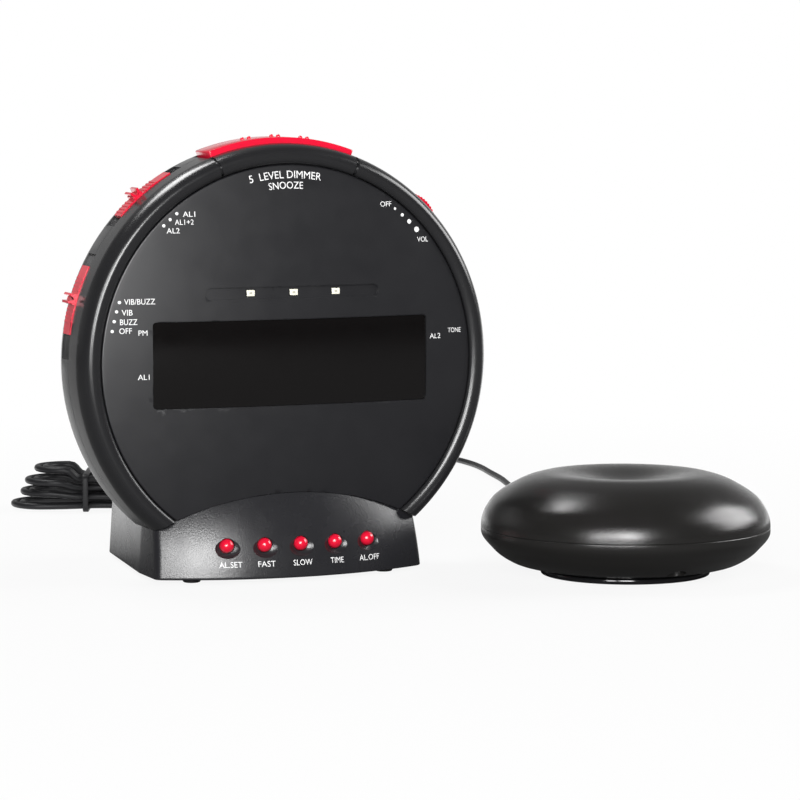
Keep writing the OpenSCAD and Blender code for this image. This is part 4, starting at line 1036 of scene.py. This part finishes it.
def make_floor():
    """A pale floor: it looks white far off and takes the object's faint shadow near by. To rays other than
    the camera's it is dark, except for a patch behind the base's left side. That patch glows as painted
    light and gives that side a painted reflection.
    """
    pick(None)
    bpy.ops.mesh.primitive_plane_add(size=12)
    floor = bpy.context.object
    floor.name = "pale_floor"
    finish = Finish("pale_floor", (0.55, 0.55, 0.55), 0.9)
    finish.give("Specular IOR Level", 0.0)
    away = finish.node("ShaderNodeVectorMath", {"operation": "LENGTH"}, {0: finish.place}, "Value")
    seen = finish.node("ShaderNodeLightPath", output="Is Camera Ray")
    finish.give("Base Color", finish.mix(seen, (0.12, 0.12, 0.12), (0.55, 0.55, 0.55)))
    white = finish.node("ShaderNodeEmission", None, {"Color": (1, 1, 1, 1), "Strength": 1.0})
    # Painted light: a patch of floor behind the base's left side glows, in reflections and bounce only, to
    # put a painted reflection on that side
    behind = finish.axis("Y").between(0.06, 0.25)
    inward = (finish.axis("X") + finish.axis("Y") * 0.25).between(-0.095, -0.065)
    painted_glow = finish.node("ShaderNodeEmission", None, {"Color": (1, 1, 1, 1), "Strength": 1.8})
    plain = Value(finish, finish.shader.outputs[0])
    blend = finish.node("ShaderNodeMixShader", None, {0: (1 - seen) * behind * inward, 1: plain, 2: painted_glow})
    share = seen * (away.between(0.12, 0.5) * 0.1 + 0.9)
    blend = finish.node("ShaderNodeMixShader", None, {0: share, 1: blend, 2: white})
    output = finish.tree.nodes["Material Output"]
    finish.join(blend, output.inputs["Surface"])
    floor.data.materials.append(finish.material)


ROOM_LIGHT = 0.04
WALL_LIGHT = 0.8


def make_surround():
    """Studio surround: a white wall behind, darker on the left and higher up, and a dim room in front."""
    world = bpy.data.worlds.new("studio")
    bpy.context.scene.world = world
    world.use_nodes = True
    tree = world.node_tree
    tree.nodes.clear()
    output = tree.nodes.new("ShaderNodeOutputWorld")
    way = tree.nodes.new("ShaderNodeTexCoord")
    axes = tree.nodes.new("ShaderNodeSeparateXYZ")
    tree.links.new(way.outputs["Generated"], axes.inputs[0])
    fades = []
    for axis, start, end, before, after in (("Y", 0.1, 0.8, ROOM_LIGHT, WALL_LIGHT),
                                            ("Z", 0.12, 0.45, 1.0, 0.3), ("X", -0.34, -0.14, 0.25, 1.0)):
        fade = tree.nodes.new("ShaderNodeMapRange")
        fade.interpolation_type = "SMOOTHSTEP"
        fade.inputs["From Min"].default_value = start
        fade.inputs["From Max"].default_value = end
        fade.inputs["To Min"].default_value = before
        fade.inputs["To Max"].default_value = after
        tree.links.new(axes.outputs[axis], fade.inputs["Value"])
        fades.append(fade.outputs[0])
    wall = fades[0]
    for fade in fades[1:]:
        product = tree.nodes.new("ShaderNodeMath")
        product.operation = "MULTIPLY"
        tree.links.new(wall, product.inputs[0])
        tree.links.new(fade, product.inputs[1])
        wall = product.outputs[0]
    path = tree.nodes.new("ShaderNodeLightPath")
    seen = tree.nodes.new("ShaderNodeMath")
    seen.operation = "MAXIMUM"
    tree.links.new(path.outputs["Is Camera Ray"], seen.inputs[0])
    tree.links.new(wall, seen.inputs[1])
    back = tree.nodes.new("ShaderNodeBackground")
    back.inputs["Color"].default_value = (1, 1, 1, 1)
    tree.links.new(seen.outputs[0], back.inputs["Strength"])
    tree.links.new(back.outputs[0], output.inputs[0])


def soft_box(name, place, aim, width, height, power):
    data = bpy.data.lights.new(name, "AREA")
    data.shape = "RECTANGLE"
    data.size = width
    data.size_y = height
    data.energy = power
    lamp = bpy.data.objects.new(name, data)
    bpy.context.scene.collection.objects.link(lamp)
    lamp.location = place
    lamp.rotation_mode = "QUATERNION"
    lamp.rotation_quaternion = (Vector(aim) - Vector(place)).to_track_quat("-Z", "Y")


make_floor()
make_surround()
soft_box("front_box", (-0.56, -1.42, 0.46), (-0.02, 0, 0.07), 0.5, 0.74, 29)
soft_box("left_box", (-1.06, -1.16, 0.4), (-0.02, 0, 0.07), 0.36, 0.8, 13)
soft_box("right_box", (1.12, -0.12, 0.66), (0.02, 0, 0.06), 0.85, 0.75, 16)
soft_box("top_box", (-0.34, 0.6, 1.08), (0.0, 0.0, 0.05), 0.5, 0.4, 9)

bpy.context.scene.view_settings.view_transform = "Standard"
